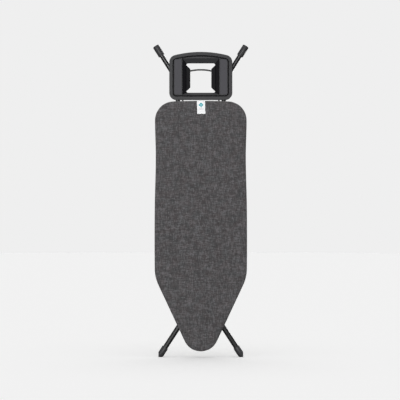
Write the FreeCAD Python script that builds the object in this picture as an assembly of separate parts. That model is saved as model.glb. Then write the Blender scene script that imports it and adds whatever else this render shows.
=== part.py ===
"""Folding ironing board, stored upright: nose down on its lower feet, legs folded flat behind it.

Frame: +Z runs up the board from the nose to the iron rest, +X to the right, +Y to the back where
the legs are. The ironing surface faces -Y. The origin is on the floor, under the middle of the box.
Depths are counted from the ironing surface towards the back and are called w below.
"""
import FreeCAD, Part
import math
import os
from FreeCAD import Vector

# ---- whole object ----------------------------------------------------------------------------
LABEL_T = 0.4                 # woven label, on the outside of the cover
TOTAL_DEPTH = 66.0            # ironing surface to the back of the lock bar
FACE_Y = (LABEL_T - TOTAL_DEPTH) / 2.0
FLOOR_Z = 0.0
TOP_Z = 1553.0                # tips of the upper feet, folded

# ---- board outline (outside of the cover) ------------------------------------------------------
NOSE_R = 88.6
NOSE_CZ = 119.6               # centre of the nose arc
NOSE_Z = NOSE_CZ - NOSE_R
TAPER_DEG = 25.1              # taper lines against the long axis
SHOULDER_R = 200.0
SHOULDER_CX = 28.7
SHOULDER_CZ = 443.5
BELLY_X, BELLY_Z = 229.2, 560.0
FLANK_X, FLANK_Z = 228.2, 753.0
WAIST_X, WAIST_Z = 223.0, 991.0
REAR_Z = 1271.0
REAR_CORNER_R = 94.0
REAR_HALF_W = 227.0
REAR_CROWN_R = 3500.0

# ---- board layers, as depths w from the ironing surface ----------------------------------------
COVER_T = 1.0
UNDERLAY_W = (1.0, 7.5)
DECK_W = (7.5, 8.5)
RIM_W = (8.5, 24.9)
BEAM_W = (8.5, 20.9)
RIM_INSET = 1.8
RIM_WIDTH = 18.0
SHEET_T = 1.2                 # rolled sheet of the rim and the beams
COVER_BACK_W = 26.7
COVER_RETURN = 28.0           # how far the cover turns in behind the rim
HEM_W = 21.2
CORD_T = 3.0                  # drawcord
CORD_INSET = COVER_RETURN - CORD_T - 0.5
CORD_X = 1.7                  # the two ends of the drawcord, either side of the middle
CORD_TAIL_W = 56.0
CORD_LOCK_W = 35.5
CORD_LOCK_R = 7.5
CORD_LOCK_Z = NOSE_Z + CORD_INSET + CORD_T / 2.0
MESH_PITCH_X, MESH_PITCH_Z = 40.0, 56.0
MESH_HOLE_X, MESH_HOLE_Z = 33.0, 48.0

# ---- legs --------------------------------------------------------------------------------------
LEG_W = 45.0                  # depth of the plane that both leg frames fold into
HINGE_Z = 372.5               # fixed hinge of the outer frame
ARM = 400.0                   # hinge to centre pivot, and centre pivot to crossbar
PIVOT_Z = HINGE_Z + ARM
BAR_Z = PIVOT_Z + ARM
OPEN_DEG = 53.4
OUTER_X, OUTER_R = 114.0, 11.0
INNER_X, INNER_R = 84.0, 12.5
TUBE_T = 1.2
BEND_R = 60.0
OUTER_BEND_Z, OUTER_SPLAY = 1370.0, 0.63
INNER_BEND_Z, INNER_SPLAY = 189.7, 0.651
OUTER_END = 12.0              # tube past the hinge axis
INNER_END = 14.0              # tube past the crossbar axis
BRACE_R = 8.0
OUTER_BRACE_Z, OUTER_BRACE_W = 1288.0, 52.0
INNER_BRACE_Z = 250.0
CROSSBAR_R = 6.0
FOOT_R = 16.0
FOOT_LEN = 58.0
SOLE_T = 5.0
LOWER_CLIP_X = 210.5
FLUTE_R = 1.5
FLUTE_COUNT = 8
SOLE_ROUND = 4.6
RUN = 0.05                    # radial clearance of a running fit
GAP = 0.3                     # gap between faces that slide past each other

# ---- beams, brackets and rails -------------------------------------------------------------------
BEAM_HALF = 20.0
RAIL_BEAM_Z = 815.0
REAR_BEAM_Z = 1217.5
BEAM_HALF_REAR = 17.5
PLATE_T = 2.5
HINGE_PIN_R = 5.0
SLEEVE_R = 7.0
EAR_IN = (99.0, 101.5)
EAR_OUT = (126.5, 129.0)
EAR_HALF = 15.0
EAR_BACK_W = 59.0
RAIL_X = (44.0, 46.5)
RAIL_FLANGE_X = 62.0
RAIL_BACK_W = 60.0
RAIL_Z = (798.0, 1232.0)
SLOT_HALF = 7.1
GLIDE_HALF_W, GLIDE_HALF_Z = 6.8, 12.0
GLIDE_FLANGE_W, GLIDE_FLANGE_Z, GLIDE_FLANGE_T = 10.0, 15.0, 2.0
BOLT_R = 4.0
RIVET_R = 2.5
RIVET_HEAD_R, RIVET_HEAD_T = 4.5, 1.8

# ---- height lock and its lever --------------------------------------------------------------------
LOCK_T = 3.0
LOCK_EDGE_W = 51.4
LOCK_PIN_Z, LOCK_PIN_W, LOCK_PIN_R = 815.0, 58.7, 3.0
LOCK_TAIL_Z = (1212.0, 1224.0)
LOCK_TAIL_W = 31.9
NOTCH_R = 6.4
NOTCH_DEG = (52.5, 49.5, 46.5, 43.5, 40.5, 37.5, 34.5)
LEVER_Z, LEVER_W, LEVER_R = 1192.0, 29.5, 3.0
FINGER_Z = 1222.0
HANDLE_X = (139.0, 177.0)
HANDLE_TIP_Z = 1127.0
HUB_R = 6.0
SLIDER_X = (143.0, 159.0)
SLIDER_Z = (1208.5, 1225.0)

# ---- iron rest --------------------------------------------------------------------------------------
TRAY_HALF_W = 156.0
TRAY_Z = (1276.0, 1513.0)
TRAY_CROWN_R = 530.0
TRAY_TOP_R, TRAY_LOW_R = 36.0, 35.0
TRAY_W = (6.0, 30.0)
TRAY_WALL = 4.0
TRAY_RIM = 16.0
TRAY_GROOVE = 7.0
GROOVE_DEPTH = 11.0
GROOVE_WALL = 2.5
PANEL_W = 8.5
FLOOR_W = 15.0
FUNNEL_X, FUNNEL_Z = 92.0, (1300.0, 1482.0)
THROAT_X, THROAT_Z = 71.0, (1312.0, 1457.5)
THROAT_W = 20.0
THROAT_ROUND = 8.0
STRIP_X = 52.0
STRIP_WIDE_X = 67.0
STRIP_W = (14.0, 26.0)
PAD_X = (96.0, 130.0)
PAD_Z = (1303.0, 1476.0)
PAD_RISE = 1.2
PAD_ROUND = 5.0
ROD_R = 4.0
ROD_W = 35.0
ROD_HALF_W = 90.0
ROD_Z = (1203.0, 1427.0)
ROD_BOW_R = 244.0
ROD_CORNER_R = 22.0
SADDLE_Z_BOARD = 1217.5
SADDLE_Z_TRAY = (1326.0, 1378.0)


# ---- helpers ------------------------------------------------------------------------------------------
def at(x, w, z):
    """Point at width x, depth w behind the ironing surface and height z."""
    return Vector(x, FACE_Y + w, z)


def block(x, w, z):
    """Box between two widths, two depths and two heights."""
    return Part.makeBox(x[1] - x[0], w[1] - w[0], z[1] - z[0], at(x[0], w[0], z[0]))


def rod_x(radius, x, w, z):
    """Round bar along X."""
    return Part.makeCylinder(radius, x[1] - x[0], at(x[0], w, z), Vector(1, 0, 0))


def rod_y(radius, x, w, z):
    """Round bar along Y, between two depths."""
    return Part.makeCylinder(radius, w[1] - w[0], at(x, w[0], z), Vector(0, 1, 0))


def rod_z(radius, x, w, z):
    """Round bar along Z."""
    return Part.makeCylinder(radius, z[1] - z[0], at(x, w, z[0]), Vector(0, 0, 1))


def plate(points, w):
    """Flat plate from its outline in the X-Z plane."""
    wire = Part.makePolygon([at(x, w[0], z) for x, z in points + points[:1]])
    return Part.Face(wire).extrude(Vector(0, w[1] - w[0], 0))


def side_plate(points, x):
    """Flat plate from its outline in the depth-height plane."""
    wire = Part.makePolygon([at(x[0], w, z) for w, z in points + points[:1]])
    return Part.Face(wire).extrude(Vector(x[1] - x[0], 0, 0))


def mirrored(shape):
    """The same piece on the other side."""
    return shape.mirror(Vector(0, 0, 0), Vector(1, 0, 0))


def pair(shape):
    """A piece and its mirror image, as two separate solids."""
    return Part.makeCompound([shape, mirrored(shape)])


def arc(centre, radius, start, end, w):
    """Arc in the X-Z plane; angles in radians from +X towards +Z."""
    angles = (start, (start + end) / 2.0, end)
    points = [at(centre[0] + radius * math.cos(a), w, centre[1] + radius * math.sin(a)) for a in angles]
    return Part.Arc(*points).toShape()


def crowned_end(half_width, top, crown_r, corner_r):
    """Corner centre and tangent angle of a side line, a corner arc and a crowned end."""
    centre_x = half_width - corner_r
    reach = crown_r - corner_r
    centre_z = top - crown_r + math.sqrt(reach ** 2 - centre_x ** 2)
    return (centre_x, centre_z), math.pi / 2.0 - math.asin(centre_x / reach)


def closed_face(half):
    """Face bounded by the right-hand edges and their mirror images."""
    right = Part.Wire(half)
    return Part.Face(Part.Wire([right, mirrored(right)]))


# ---- board ----------------------------------------------------------------------------------------------
def board_slab(inset, w):
    """The board's outline, shrunk by inset, between two depths."""
    taper = math.radians(TAPER_DEG)
    corner, crown_angle = crowned_end(REAR_HALF_W, REAR_Z, REAR_CROWN_R, REAR_CORNER_R)
    nose = arc((0.0, NOSE_CZ), NOSE_R - inset, -math.pi / 2.0, -taper, w[0])
    shoulder = arc((SHOULDER_CX, SHOULDER_CZ), SHOULDER_R - inset, -taper, 0.0, w[0])
    rear_corner = arc(corner, REAR_CORNER_R - inset, 0.0, crown_angle, w[0])
    crown = arc((0.0, REAR_Z - REAR_CROWN_R), REAR_CROWN_R - inset, crown_angle, math.pi / 2.0, w[0])
    taper_line = Part.LineSegment(nose.Vertexes[-1].Point, shoulder.Vertexes[0].Point).toShape()
    side = Part.BSplineCurve()
    side.interpolate(
        Points=[
            shoulder.Vertexes[-1].Point,
            at(BELLY_X - inset, w[0], BELLY_Z),
            at(FLANK_X - inset, w[0], FLANK_Z),
            at(WAIST_X - inset, w[0], WAIST_Z),
            rear_corner.Vertexes[0].Point,
        ],
        InitialTangent=Vector(0, 0, 1),
        FinalTangent=Vector(0, 0, 1),
    )
    face = closed_face([nose, taper_line, shoulder, side.toShape(), rear_corner, crown])
    return face.extrude(Vector(0, w[1] - w[0], 0))


def cover():
    """Fitted cover: face, skirt, and a return behind the rim that ends in a hem with a drawcord."""
    skin = board_slab(0.0, (0.0, COVER_BACK_W))
    skin = skin.cut(board_slab(COVER_T, (COVER_T, COVER_BACK_W - COVER_T)))
    skin = skin.cut(board_slab(COVER_RETURN, (COVER_BACK_W - COVER_T, COVER_BACK_W)))
    lip = board_slab(COVER_RETURN, (HEM_W, COVER_BACK_W))
    lip = lip.cut(board_slab(COVER_RETURN + COVER_T, (HEM_W, COVER_BACK_W)))
    cord_exit = block((-5.0, 5.0), (HEM_W - 1.0, COVER_BACK_W + 1.0), (CORD_LOCK_Z - 2.0, CORD_LOCK_Z + 2.0))
    return skin.fuse(lip).removeSplitter().cut(cord_exit)


def cover_label():
    """Woven label sewn flat on the cover at the rear edge."""
    return block((-20.0, 21.0), (-LABEL_T, 0.0), (1205.0, REAR_Z - 1.5))


def cover_drawcord():
    """Cord that runs round inside the hem; both ends leave at the nose through the cord lock."""
    mid_w = HEM_W + 2.4
    ring_w = (mid_w - CORD_T / 2.0, mid_w + CORD_T / 2.0)
    ring = board_slab(CORD_INSET, ring_w).cut(board_slab(CORD_INSET + CORD_T, ring_w))
    for x in (-CORD_X, CORD_X):
        ring = ring.fuse(rod_y(CORD_T / 2.0, x, (mid_w, CORD_TAIL_W), CORD_LOCK_Z))
    return ring.removeSplitter()


def cord_lock_barrel():
    """Outer half of the spring toggle that grips the drawcord's ends."""
    barrel = rod_z(CORD_LOCK_R, 0.0, CORD_LOCK_W, (CORD_LOCK_Z - 12.0, CORD_LOCK_Z + 7.0))
    barrel = barrel.cut(rod_z(5.2, 0.0, CORD_LOCK_W, (CORD_LOCK_Z - 10.0, CORD_LOCK_Z + 7.0)))
    return barrel.cut(rod_y(3.8, 0.0, (CORD_LOCK_W - 9.0, CORD_LOCK_W + 9.0), CORD_LOCK_Z))


def cord_lock_button():
    """Sprung plunger of the toggle."""
    plunger = rod_z(4.9, 0.0, CORD_LOCK_W, (CORD_LOCK_Z - 5.5, CORD_LOCK_Z + 11.5))
    slot = block((-3.6, 3.6), (CORD_LOCK_W - 9.0, CORD_LOCK_W + 9.0), (CORD_LOCK_Z - 1.9, CORD_LOCK_Z + 5.2))
    head = rod_z(7.0, 0.0, CORD_LOCK_W, (CORD_LOCK_Z + 11.5, CORD_LOCK_Z + 15.0))
    return plunger.cut(slot).fuse(head)


def coil(radius, wire_r, pitch, height, base, direction):
    """Coil spring: a round wire swept along a helix."""
    helix = Part.makeHelix(pitch, height, radius)
    profile = Part.Wire(Part.makeCircle(wire_r, Vector(radius, 0, 0), Vector(0, 1, 0)))
    spring = Part.Wire(helix.Edges).makePipeShell([profile], True, True)
    spring.rotate(Vector(0, 0, 0), *direction)
    spring.translate(base)
    return spring


def cord_lock_spring():
    """Compression spring under the plunger."""
    base = at(0.0, CORD_LOCK_W, CORD_LOCK_Z - 9.6)
    return coil(3.5, 0.45, 1.3, 3.6, base, (Vector(0, 0, 1), 0.0))


def underlay():
    """Felt and foam layer between the cover and the metal deck."""
    return board_slab(RIM_INSET, UNDERLAY_W)


def deck_mesh():
    """Open metal deck that lets the steam through."""
    deck = board_slab(RIM_INSET, DECK_W)
    inner = board_slab(RIM_WIDTH + RIM_INSET + MESH_HOLE_X / 2.0, DECK_W)
    holes = []
    rows = int((REAR_Z - NOSE_Z) / MESH_PITCH_Z * 2.0)
    columns = int(2.0 * BELLY_X / MESH_PITCH_X)
    for row in range(rows):
        z = NOSE_Z + MESH_PITCH_Z * (row + 1) / 2.0
        shift = MESH_PITCH_X / 2.0 * (row % 2)
        for column in range(-columns // 2, columns // 2 + 1):
            x = column * MESH_PITCH_X + shift
            if not inner.isInside(at(x, DECK_W[0], z), 1e-3, True):
                continue
            diamond = [
                (x - MESH_HOLE_X / 2.0, z),
                (x, z - MESH_HOLE_Z / 2.0),
                (x + MESH_HOLE_X / 2.0, z),
                (x, z + MESH_HOLE_Z / 2.0),
            ]
            holes.append(plate(diamond, DECK_W))
    return deck.cut(Part.makeCompound(holes))


def rim_channel():
    """Rolled steel channel round the board, open towards the middle."""
    ring = board_slab(RIM_INSET, RIM_W)
    ring = ring.cut(board_slab(RIM_INSET + RIM_WIDTH, RIM_W))
    return ring.cut(
        board_slab(RIM_INSET + SHEET_T, (RIM_W[0] + SHEET_T, RIM_W[1] - SHEET_T))
    )


def beam(centre_z, half):
    """Cross-beam of folded sheet from one side of the rim to the other."""
    span = (centre_z - half, centre_z + half)
    across = (-REAR_HALF_W, REAR_HALF_W)
    solid = board_slab(RIM_INSET + RIM_WIDTH, BEAM_W).common(block(across, BEAM_W, span))
    hollow = (span[0] + SHEET_T, span[1] - SHEET_T)
    return solid.cut(block(across, (BEAM_W[0], BEAM_W[1] - SHEET_T), hollow))


def hinge_beam():
    """Beam that carries the two leg hinges."""
    body = beam(HINGE_Z, BEAM_HALF)
    for place in hinge_rivet_places():
        body = body.cut(rod_y(RIVET_R, place[0], BEAM_W, place[1]))
    return body


def rail_beam():
    """Beam at the nose end of the guide rails."""
    body = beam(RAIL_BEAM_Z, BEAM_HALF)
    for place in rail_rivet_places()[0]:
        body = body.cut(rod_y(RIVET_R, place[0], BEAM_W, place[1]))
    return body


def rear_beam():
    """Beam at the wide end: rails, lever and iron rest are fixed to it."""
    body = beam(REAR_BEAM_Z, BEAM_HALF_REAR)
    for place in rail_rivet_places()[1]:
        body = body.cut(rod_y(RIVET_R, place[0], BEAM_W, place[1]))
    return body


# ---- leg hinges on the board --------------------------------------------------------------------------
def hinge_rivet_places():
    """Rivets that hold the hinge brackets: (x, z)."""
    middle = (EAR_IN[0] + EAR_OUT[1]) / 2.0
    return [(side * middle, HINGE_Z + dz) for side in (-1.0, 1.0) for dz in (-BEAM_HALF + 8.0, BEAM_HALF - 8.0)]


def hinge_bracket():
    """U-shaped bracket with two ears round the tube end, right-hand side."""
    span = (HINGE_Z - EAR_HALF, HINGE_Z + EAR_HALF)
    base = block((EAR_IN[0], EAR_OUT[1]), (BEAM_W[1], BEAM_W[1] + PLATE_T), (HINGE_Z - BEAM_HALF, HINGE_Z + BEAM_HALF))
    body = base
    for ear in (EAR_IN, EAR_OUT):
        flat = block(ear, (BEAM_W[1], LEG_W), span)
        body = body.fuse(flat).fuse(rod_x(EAR_HALF, ear, LEG_W, HINGE_Z).common(block(ear, (0.0, EAR_BACK_W + 10.0), span)))
    body = body.removeSplitter().cut(rod_x(HINGE_PIN_R, (EAR_IN[0] - 1.0, EAR_OUT[1] + 1.0), LEG_W, HINGE_Z))
    for place in hinge_rivet_places():
        body = body.cut(rod_y(RIVET_R, place[0], (BEAM_W[1], BEAM_W[1] + PLATE_T), place[1]))
    return body


def hinge_pins():
    """Riveted pins that the outer frame turns on."""
    shank = rod_x(HINGE_PIN_R, EAR_IN[:1] + EAR_OUT[1:], LEG_W, HINGE_Z)
    head = rod_x(HINGE_PIN_R + 3.0, (EAR_OUT[1], EAR_OUT[1] + 2.5), LEG_W, HINGE_Z)
    return pair(shank.fuse(head).removeSplitter())


def hinge_washers():
    """Plastic washers between the tube end and the two ears."""
    inner = rod_x(HINGE_PIN_R + 4.5, (EAR_IN[1], OUTER_X - OUTER_R - RUN), LEG_W, HINGE_Z)
    outer = rod_x(HINGE_PIN_R + 4.5, (OUTER_X + OUTER_R + RUN, EAR_OUT[0]), LEG_W, HINGE_Z)
    hole = rod_x(HINGE_PIN_R, (EAR_IN[0], EAR_OUT[1]), LEG_W, HINGE_Z)
    rings = [inner.cut(hole), outer.cut(hole)]
    return Part.makeCompound(rings + [mirrored(ring) for ring in rings])


def rivet(x, w, z, grip):
    """Domed rivet; w is the face under its head, grip the sheet it goes through."""
    head = rod_y(RIVET_HEAD_R, x, (w, w + RIVET_HEAD_T), z)
    head = head.makeFillet(RIVET_HEAD_T * 0.7, [edge_at(head, w + RIVET_HEAD_T)])
    return head.fuse(rod_y(RIVET_R, x, (w - grip, w), z)).removeSplitter()


def edge_at(shape, w):
    """The round edge of a disc that lies at depth w."""
    rings = [e for e in shape.Edges if abs(e.CenterOfMass.y - FACE_Y - w) < 1e-6 and len(e.Vertexes) == 1]
    return rings[0]


# ---- guide rails ----------------------------------------------------------------------------------------
def rail_rivet_places():
    """Rivets of the rails at the rail beam and at the rear beam: two lists of (x, z)."""
    x = (RAIL_X[1] + RAIL_FLANGE_X) / 2.0
    low = [(side * x, RAIL_BEAM_Z + dz) for side in (-1.0, 1.0) for dz in (-9.0, 11.0)]
    high = [(side * x, REAR_BEAM_Z + dz) for side in (-1.0, 1.0) for dz in (-10.0, 10.0)]
    return low, high


def slot_reach():
    """Lowest and highest place of the crossbar along the rails."""
    return HINGE_Z + 2.0 * ARM * math.cos(math.radians(OPEN_DEG)), BAR_Z


def guide_rail():
    """Angle-section rail with the long slot that the glide runs in, right-hand side."""
    low, high = slot_reach()
    back = [
        (BEAM_W[1], RAIL_Z[0]),
        (RAIL_BACK_W - 14.0, RAIL_Z[0]),
        (RAIL_BACK_W, RAIL_Z[0] + 18.0),
        (RAIL_BACK_W, RAIL_Z[1] - 40.0),
        (RAIL_BACK_W - 24.0, RAIL_Z[1]),
        (BEAM_W[1], RAIL_Z[1]),
    ]
    web = side_plate(back, RAIL_X)
    flange = block((RAIL_X[1], RAIL_FLANGE_X), (BEAM_W[1], BEAM_W[1] + PLATE_T), RAIL_Z)
    slot_z = (low - GLIDE_HALF_Z - 1.5, high + GLIDE_HALF_Z + 1.5)
    slot = block((RAIL_X[0] - 1.0, RAIL_X[1] + 1.0), (LEG_W - SLOT_HALF, LEG_W + SLOT_HALF), slot_z)
    rail = web.fuse(flange).removeSplitter().cut(slot)
    for places in rail_rivet_places():
        for place in places[2:]:
            rail = rail.cut(rod_y(RIVET_R, place[0], (BEAM_W[1], BEAM_W[1] + PLATE_T), place[1]))
    return rail


def guide_rail_right():
    """Right rail; its web also carries the lever rod."""
    return guide_rail().cut(rod_x(LEVER_R + RUN, (RAIL_X[0] - 1.0, RAIL_X[1] + 1.0), LEVER_W, LEVER_Z))


def frame_rivets():
    """Rivets of the rails and of the hinge brackets."""
    places = rail_rivet_places()[0] + rail_rivet_places()[1] + hinge_rivet_places()
    return Part.makeCompound([rivet(x, BEAM_W[1] + PLATE_T, z, PLATE_T + SHEET_T) for x, z in places])


def glide():
    """Nylon glide on the crossbar, held in the slot of the right-hand rail."""
    inside = (RAIL_X[0] - GAP - GLIDE_FLANGE_T, RAIL_X[0] - GAP)
    outside = (RAIL_X[1] + GAP, RAIL_X[1] + GAP + GLIDE_FLANGE_T)
    body = block((inside[0], outside[1]), (LEG_W - GLIDE_HALF_W, LEG_W + GLIDE_HALF_W),
                 (BAR_Z - GLIDE_HALF_Z, BAR_Z + GLIDE_HALF_Z))
    for span in (inside, outside):
        body = body.fuse(block(span, (LEG_W - GLIDE_FLANGE_W, LEG_W + GLIDE_FLANGE_W),
                               (BAR_Z - GLIDE_FLANGE_Z, BAR_Z + GLIDE_FLANGE_Z - 1.0)))
    body = body.removeSplitter()
    return body.cut(rod_x(CROSSBAR_R + RUN, (inside[0] - 1.0, outside[1] + 1.0), LEG_W, BAR_Z))


# ---- height lock ---------------------------------------------------------------------------------------
def lock_bar():
    """Notched bar behind the crossbar; it hinges at its nose end and its tail rests over the lever's finger."""
    outline = [
        (LOCK_EDGE_W, LOCK_PIN_Z - 8.0),
        (TOTAL_DEPTH, LOCK_PIN_Z - 8.0),
        (TOTAL_DEPTH, LOCK_TAIL_Z[1]),
        (LOCK_TAIL_W, LOCK_TAIL_Z[1]),
        (LOCK_TAIL_W, LOCK_TAIL_Z[0]),
        (LOCK_EDGE_W, LOCK_TAIL_Z[0]),
    ]
    half = (-LOCK_T / 2.0, LOCK_T / 2.0)
    bar = side_plate(outline, half)
    for angle in NOTCH_DEG:
        z = HINGE_Z + 2.0 * ARM * math.cos(math.radians(angle))
        bar = bar.cut(rod_x(NOTCH_R, half, LOCK_EDGE_W, z))
    return bar.cut(rod_x(LOCK_PIN_R + RUN, half, LOCK_PIN_W, LOCK_PIN_Z))


def lock_bracket():
    """U-shaped bracket on the rail beam that carries the lock bar's pin."""
    ears = [(-6.5, -4.0), (4.0, 6.5)]
    body = block((-6.5, 6.5), (BEAM_W[1], BEAM_W[1] + PLATE_T), (LOCK_PIN_Z - 12.0, LOCK_PIN_Z + 12.0))
    for ear in ears:
        body = body.fuse(block(ear, (BEAM_W[1], TOTAL_DEPTH - 1.0), (LOCK_PIN_Z - 12.0, LOCK_PIN_Z + 12.0)))
    return body.removeSplitter().cut(rod_x(LOCK_PIN_R, (-8.0, 8.0), LOCK_PIN_W, LOCK_PIN_Z))


def lock_pin():
    """Pin of the lock bar, with a head at each end."""
    body = rod_x(LOCK_PIN_R, (-6.5, 6.5), LOCK_PIN_W, LOCK_PIN_Z)
    for span in ((-8.3, -6.5), (6.5, 8.3)):
        body = body.fuse(rod_x(LOCK_PIN_R + 2.0, span, LOCK_PIN_W, LOCK_PIN_Z))
    return body.removeSplitter()


def lock_spring():
    """Torsion coil on the pin that keeps the lock bar against the crossbar."""
    return coil(3.9, 0.45, 1.05, 1.15, at(2.2, LOCK_PIN_W, LOCK_PIN_Z), (Vector(0, 1, 0), 90.0))


def release_rod():
    """Rod that carries the lever's turn to the finger under the lock bar's tail."""
    rod = rod_x(LEVER_R, (-5.0, HANDLE_X[1] - 2.0), LEVER_W, LEVER_Z)
    finger = block((-2.5, 2.5), (LEVER_W - 2.0, LEVER_W + 2.0), (LEVER_Z, FINGER_Z))
    return rod.fuse(finger).removeSplitter()


def release_handle():
    """Plastic lever under the wide end; squeezing it towards the board frees the height lock."""
    hub = rod_x(HUB_R, HANDLE_X, LEVER_W, LEVER_Z)
    outline = [
        (LEVER_W - 2.5, LEVER_Z - 3.0),
        (LEVER_W + 6.0, LEVER_Z),
        (LEVER_W + 9.0, LEVER_Z - 30.0),
        (LEVER_W + 8.0, HANDLE_TIP_Z + 4.0),
        (LEVER_W + 5.0, HANDLE_TIP_Z),
        (LEVER_W + 3.0, HANDLE_TIP_Z + 6.0),
        (LEVER_W + 4.0, LEVER_Z - 30.0),
    ]
    paddle = side_plate(outline, HANDLE_X)
    tail = block((SLIDER_X[0] + 2.0, SLIDER_X[1] - 2.0), (LEVER_W - 1.5, LEVER_W + 3.0), (LEVER_Z, LEVER_Z + 9.0))
    body = hub.fuse(paddle).fuse(tail).removeSplitter()
    return body.cut(rod_x(LEVER_R, (HANDLE_X[0] - 1.0, HANDLE_X[1] - 2.0), LEVER_W, LEVER_Z))


def lever_bracket():
    """Plastic bearing of the lever rod, with the guide of the safety slider."""
    base = block((129.0, SLIDER_X[1] + 3.0), (BEAM_W[1], BEAM_W[1] + PLATE_T), (1202.0, 1227.0))
    cheek = block((129.0, 137.0), (BEAM_W[1], LEVER_W + 5.5), (1185.0, 1212.0))
    body = base.fuse(cheek)
    for span in ((SLIDER_X[0] - 3.0, SLIDER_X[0]), (SLIDER_X[1], SLIDER_X[1] + 3.0)):
        body = body.fuse(block(span, (BEAM_W[1], 31.0), (1211.0, 1227.0)))
    return body.removeSplitter().cut(rod_x(LEVER_R + RUN, (128.0, 138.0), LEVER_W, LEVER_Z))


def lever_spring():
    """Torsion coil that returns the lever."""
    return coil(4.2, 0.5, 1.2, 4.0, at(123.5, LEVER_W, LEVER_Z), (Vector(0, 1, 0), 90.0))


def safety_slider():
    """Slider that is pushed over the lever's tail, so that the board can't be opened by accident."""
    across = (SLIDER_X[0] + GAP, SLIDER_X[1] - GAP)
    body = block(across, (BEAM_W[1] + PLATE_T + GAP, 37.0), (SLIDER_Z[0] + 5.5, SLIDER_Z[1]))
    body = body.fuse(block(across, (33.4, 37.0), SLIDER_Z))
    for step in range(3):
        z = SLIDER_Z[1] - 3.0 - 3.2 * step
        body = body.fuse(block((across[0] + 2.0, across[1] - 2.0), (37.0, 38.2), (z - 0.7, z + 0.7)))
    return body.removeSplitter()


# ---- leg frames ------------------------------------------------------------------------------------------
def bent_tube(x, start_z, bend_z, splay, end_z, radius):
    """Tube that runs straight along Z and then splays outwards; returned as a solid bar."""
    up = 1.0 if end_z > start_z else -1.0
    angle = math.atan(splay)
    tangent = BEND_R * math.tan(angle / 2.0)
    start = at(x, LEG_W, start_z)
    knee_low = at(x, LEG_W, bend_z - up * tangent)
    knee_high = at(x + tangent * math.sin(angle), LEG_W, bend_z + up * tangent * math.cos(angle))
    middle = at(x + BEND_R * (1.0 - math.cos(angle / 2.0)), LEG_W,
                bend_z + up * (BEND_R * math.sin(angle / 2.0) - tangent))
    end = at(x + splay * abs(end_z - bend_z), LEG_W, end_z)
    path = Part.Wire([
        Part.LineSegment(start, knee_low).toShape(),
        Part.Arc(knee_low, middle, knee_high).toShape(),
        Part.LineSegment(knee_high, end).toShape(),
    ])
    profile = Part.Wire(Part.makeCircle(radius, start, Vector(0, 0, up)))
    return path.makePipeShell([profile], True, False)


def outer_bar(radius):
    """Outer leg, right-hand side, as a solid bar of the given radius."""
    return bent_tube(OUTER_X, HINGE_Z - OUTER_END, OUTER_BEND_Z, OUTER_SPLAY, TOP_Z - 26.0, radius)


def inner_bar(radius):
    """Inner leg, right-hand side, as a solid bar of the given radius."""
    return bent_tube(INNER_X, BAR_Z + INNER_END, INNER_BEND_Z, INNER_SPLAY, FLOOR_Z + 26.0, radius)


def outer_leg():
    """Right-hand tube of the outer frame."""
    tube = outer_bar(OUTER_R).cut(outer_bar(OUTER_R - TUBE_T))
    span = (OUTER_X - 20.0, OUTER_X + 20.0)
    tube = tube.cut(rod_x(SLEEVE_R, span, LEG_W, HINGE_Z))
    return tube.cut(rod_x(BOLT_R, span, LEG_W, PIVOT_Z))


def inner_leg():
    """Right-hand tube of the inner frame."""
    tube = inner_bar(INNER_R).cut(inner_bar(INNER_R - TUBE_T))
    span = (INNER_X - 20.0, INNER_X + 20.0)
    tube = tube.cut(rod_x(CROSSBAR_R, (INNER_X - 20.0, INNER_X), LEG_W, BAR_Z))
    return tube.cut(rod_x(SLEEVE_R, span, LEG_W, PIVOT_Z))


def outer_hinge_sleeves():
    """Steel sleeves welded through the outer tubes; they turn on the hinge pins."""
    sleeve = rod_x(SLEEVE_R, (OUTER_X - OUTER_R, OUTER_X + OUTER_R), LEG_W, HINGE_Z)
    return pair(sleeve.cut(rod_x(HINGE_PIN_R + RUN, (OUTER_X - 20.0, OUTER_X + 20.0), LEG_W, HINGE_Z)))


def inner_pivot_sleeves():
    """Steel sleeves welded through the inner tubes; they turn on the centre bolts."""
    sleeve = rod_x(SLEEVE_R, (INNER_X - INNER_R, INNER_X + INNER_R), LEG_W, PIVOT_Z)
    return pair(sleeve.cut(rod_x(BOLT_R + RUN, (INNER_X - 20.0, INNER_X + 20.0), LEG_W, PIVOT_Z)))


def pivot_bolts():
    """Centre bolts of the crossed frames, fixed in the outer tubes."""
    head_x = INNER_X - INNER_R - GAP
    shank = rod_x(BOLT_R, (head_x, OUTER_X + OUTER_R + 7.0), LEG_W, PIVOT_Z)
    head = rod_x(8.0, (head_x - 3.0, head_x), LEG_W, PIVOT_Z)
    return pair(shank.fuse(head).removeSplitter())


def pivot_washers():
    """Nylon washers between the inner and the outer tubes."""
    ring = rod_x(9.0, (INNER_X + INNER_R + GAP, OUTER_X - OUTER_R), LEG_W, PIVOT_Z)
    return pair(ring.cut(rod_x(BOLT_R, (INNER_X, OUTER_X), LEG_W, PIVOT_Z)))


def pivot_nuts():
    """Cap nuts on the centre bolts."""
    face_x = OUTER_X + OUTER_R
    corners = [at(face_x, LEG_W + 7.5 * math.cos(math.radians(60 * k)),
                  PIVOT_Z + 7.5 * math.sin(math.radians(60 * k))) for k in range(7)]
    nut = Part.Face(Part.makePolygon(corners)).extrude(Vector(5.5, 0, 0))
    dome = Part.makeSphere(5.6, at(face_x + 4.6, LEG_W, PIVOT_Z))
    dome = dome.common(rod_x(7.0, (face_x + 5.5, face_x + 12.0), LEG_W, PIVOT_Z))
    body = nut.fuse(dome).removeSplitter()
    return pair(body.cut(rod_x(BOLT_R, (face_x, face_x + 7.0), LEG_W, PIVOT_Z)))


def outer_brace():
    """Cross-tube of the outer frame."""
    bar = rod_x(BRACE_R, (-OUTER_X, OUTER_X), OUTER_BRACE_W, OUTER_BRACE_Z)
    for leg in (outer_bar(OUTER_R), mirrored(outer_bar(OUTER_R))):
        bar = bar.cut(leg)
    return longest(bar)


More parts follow.
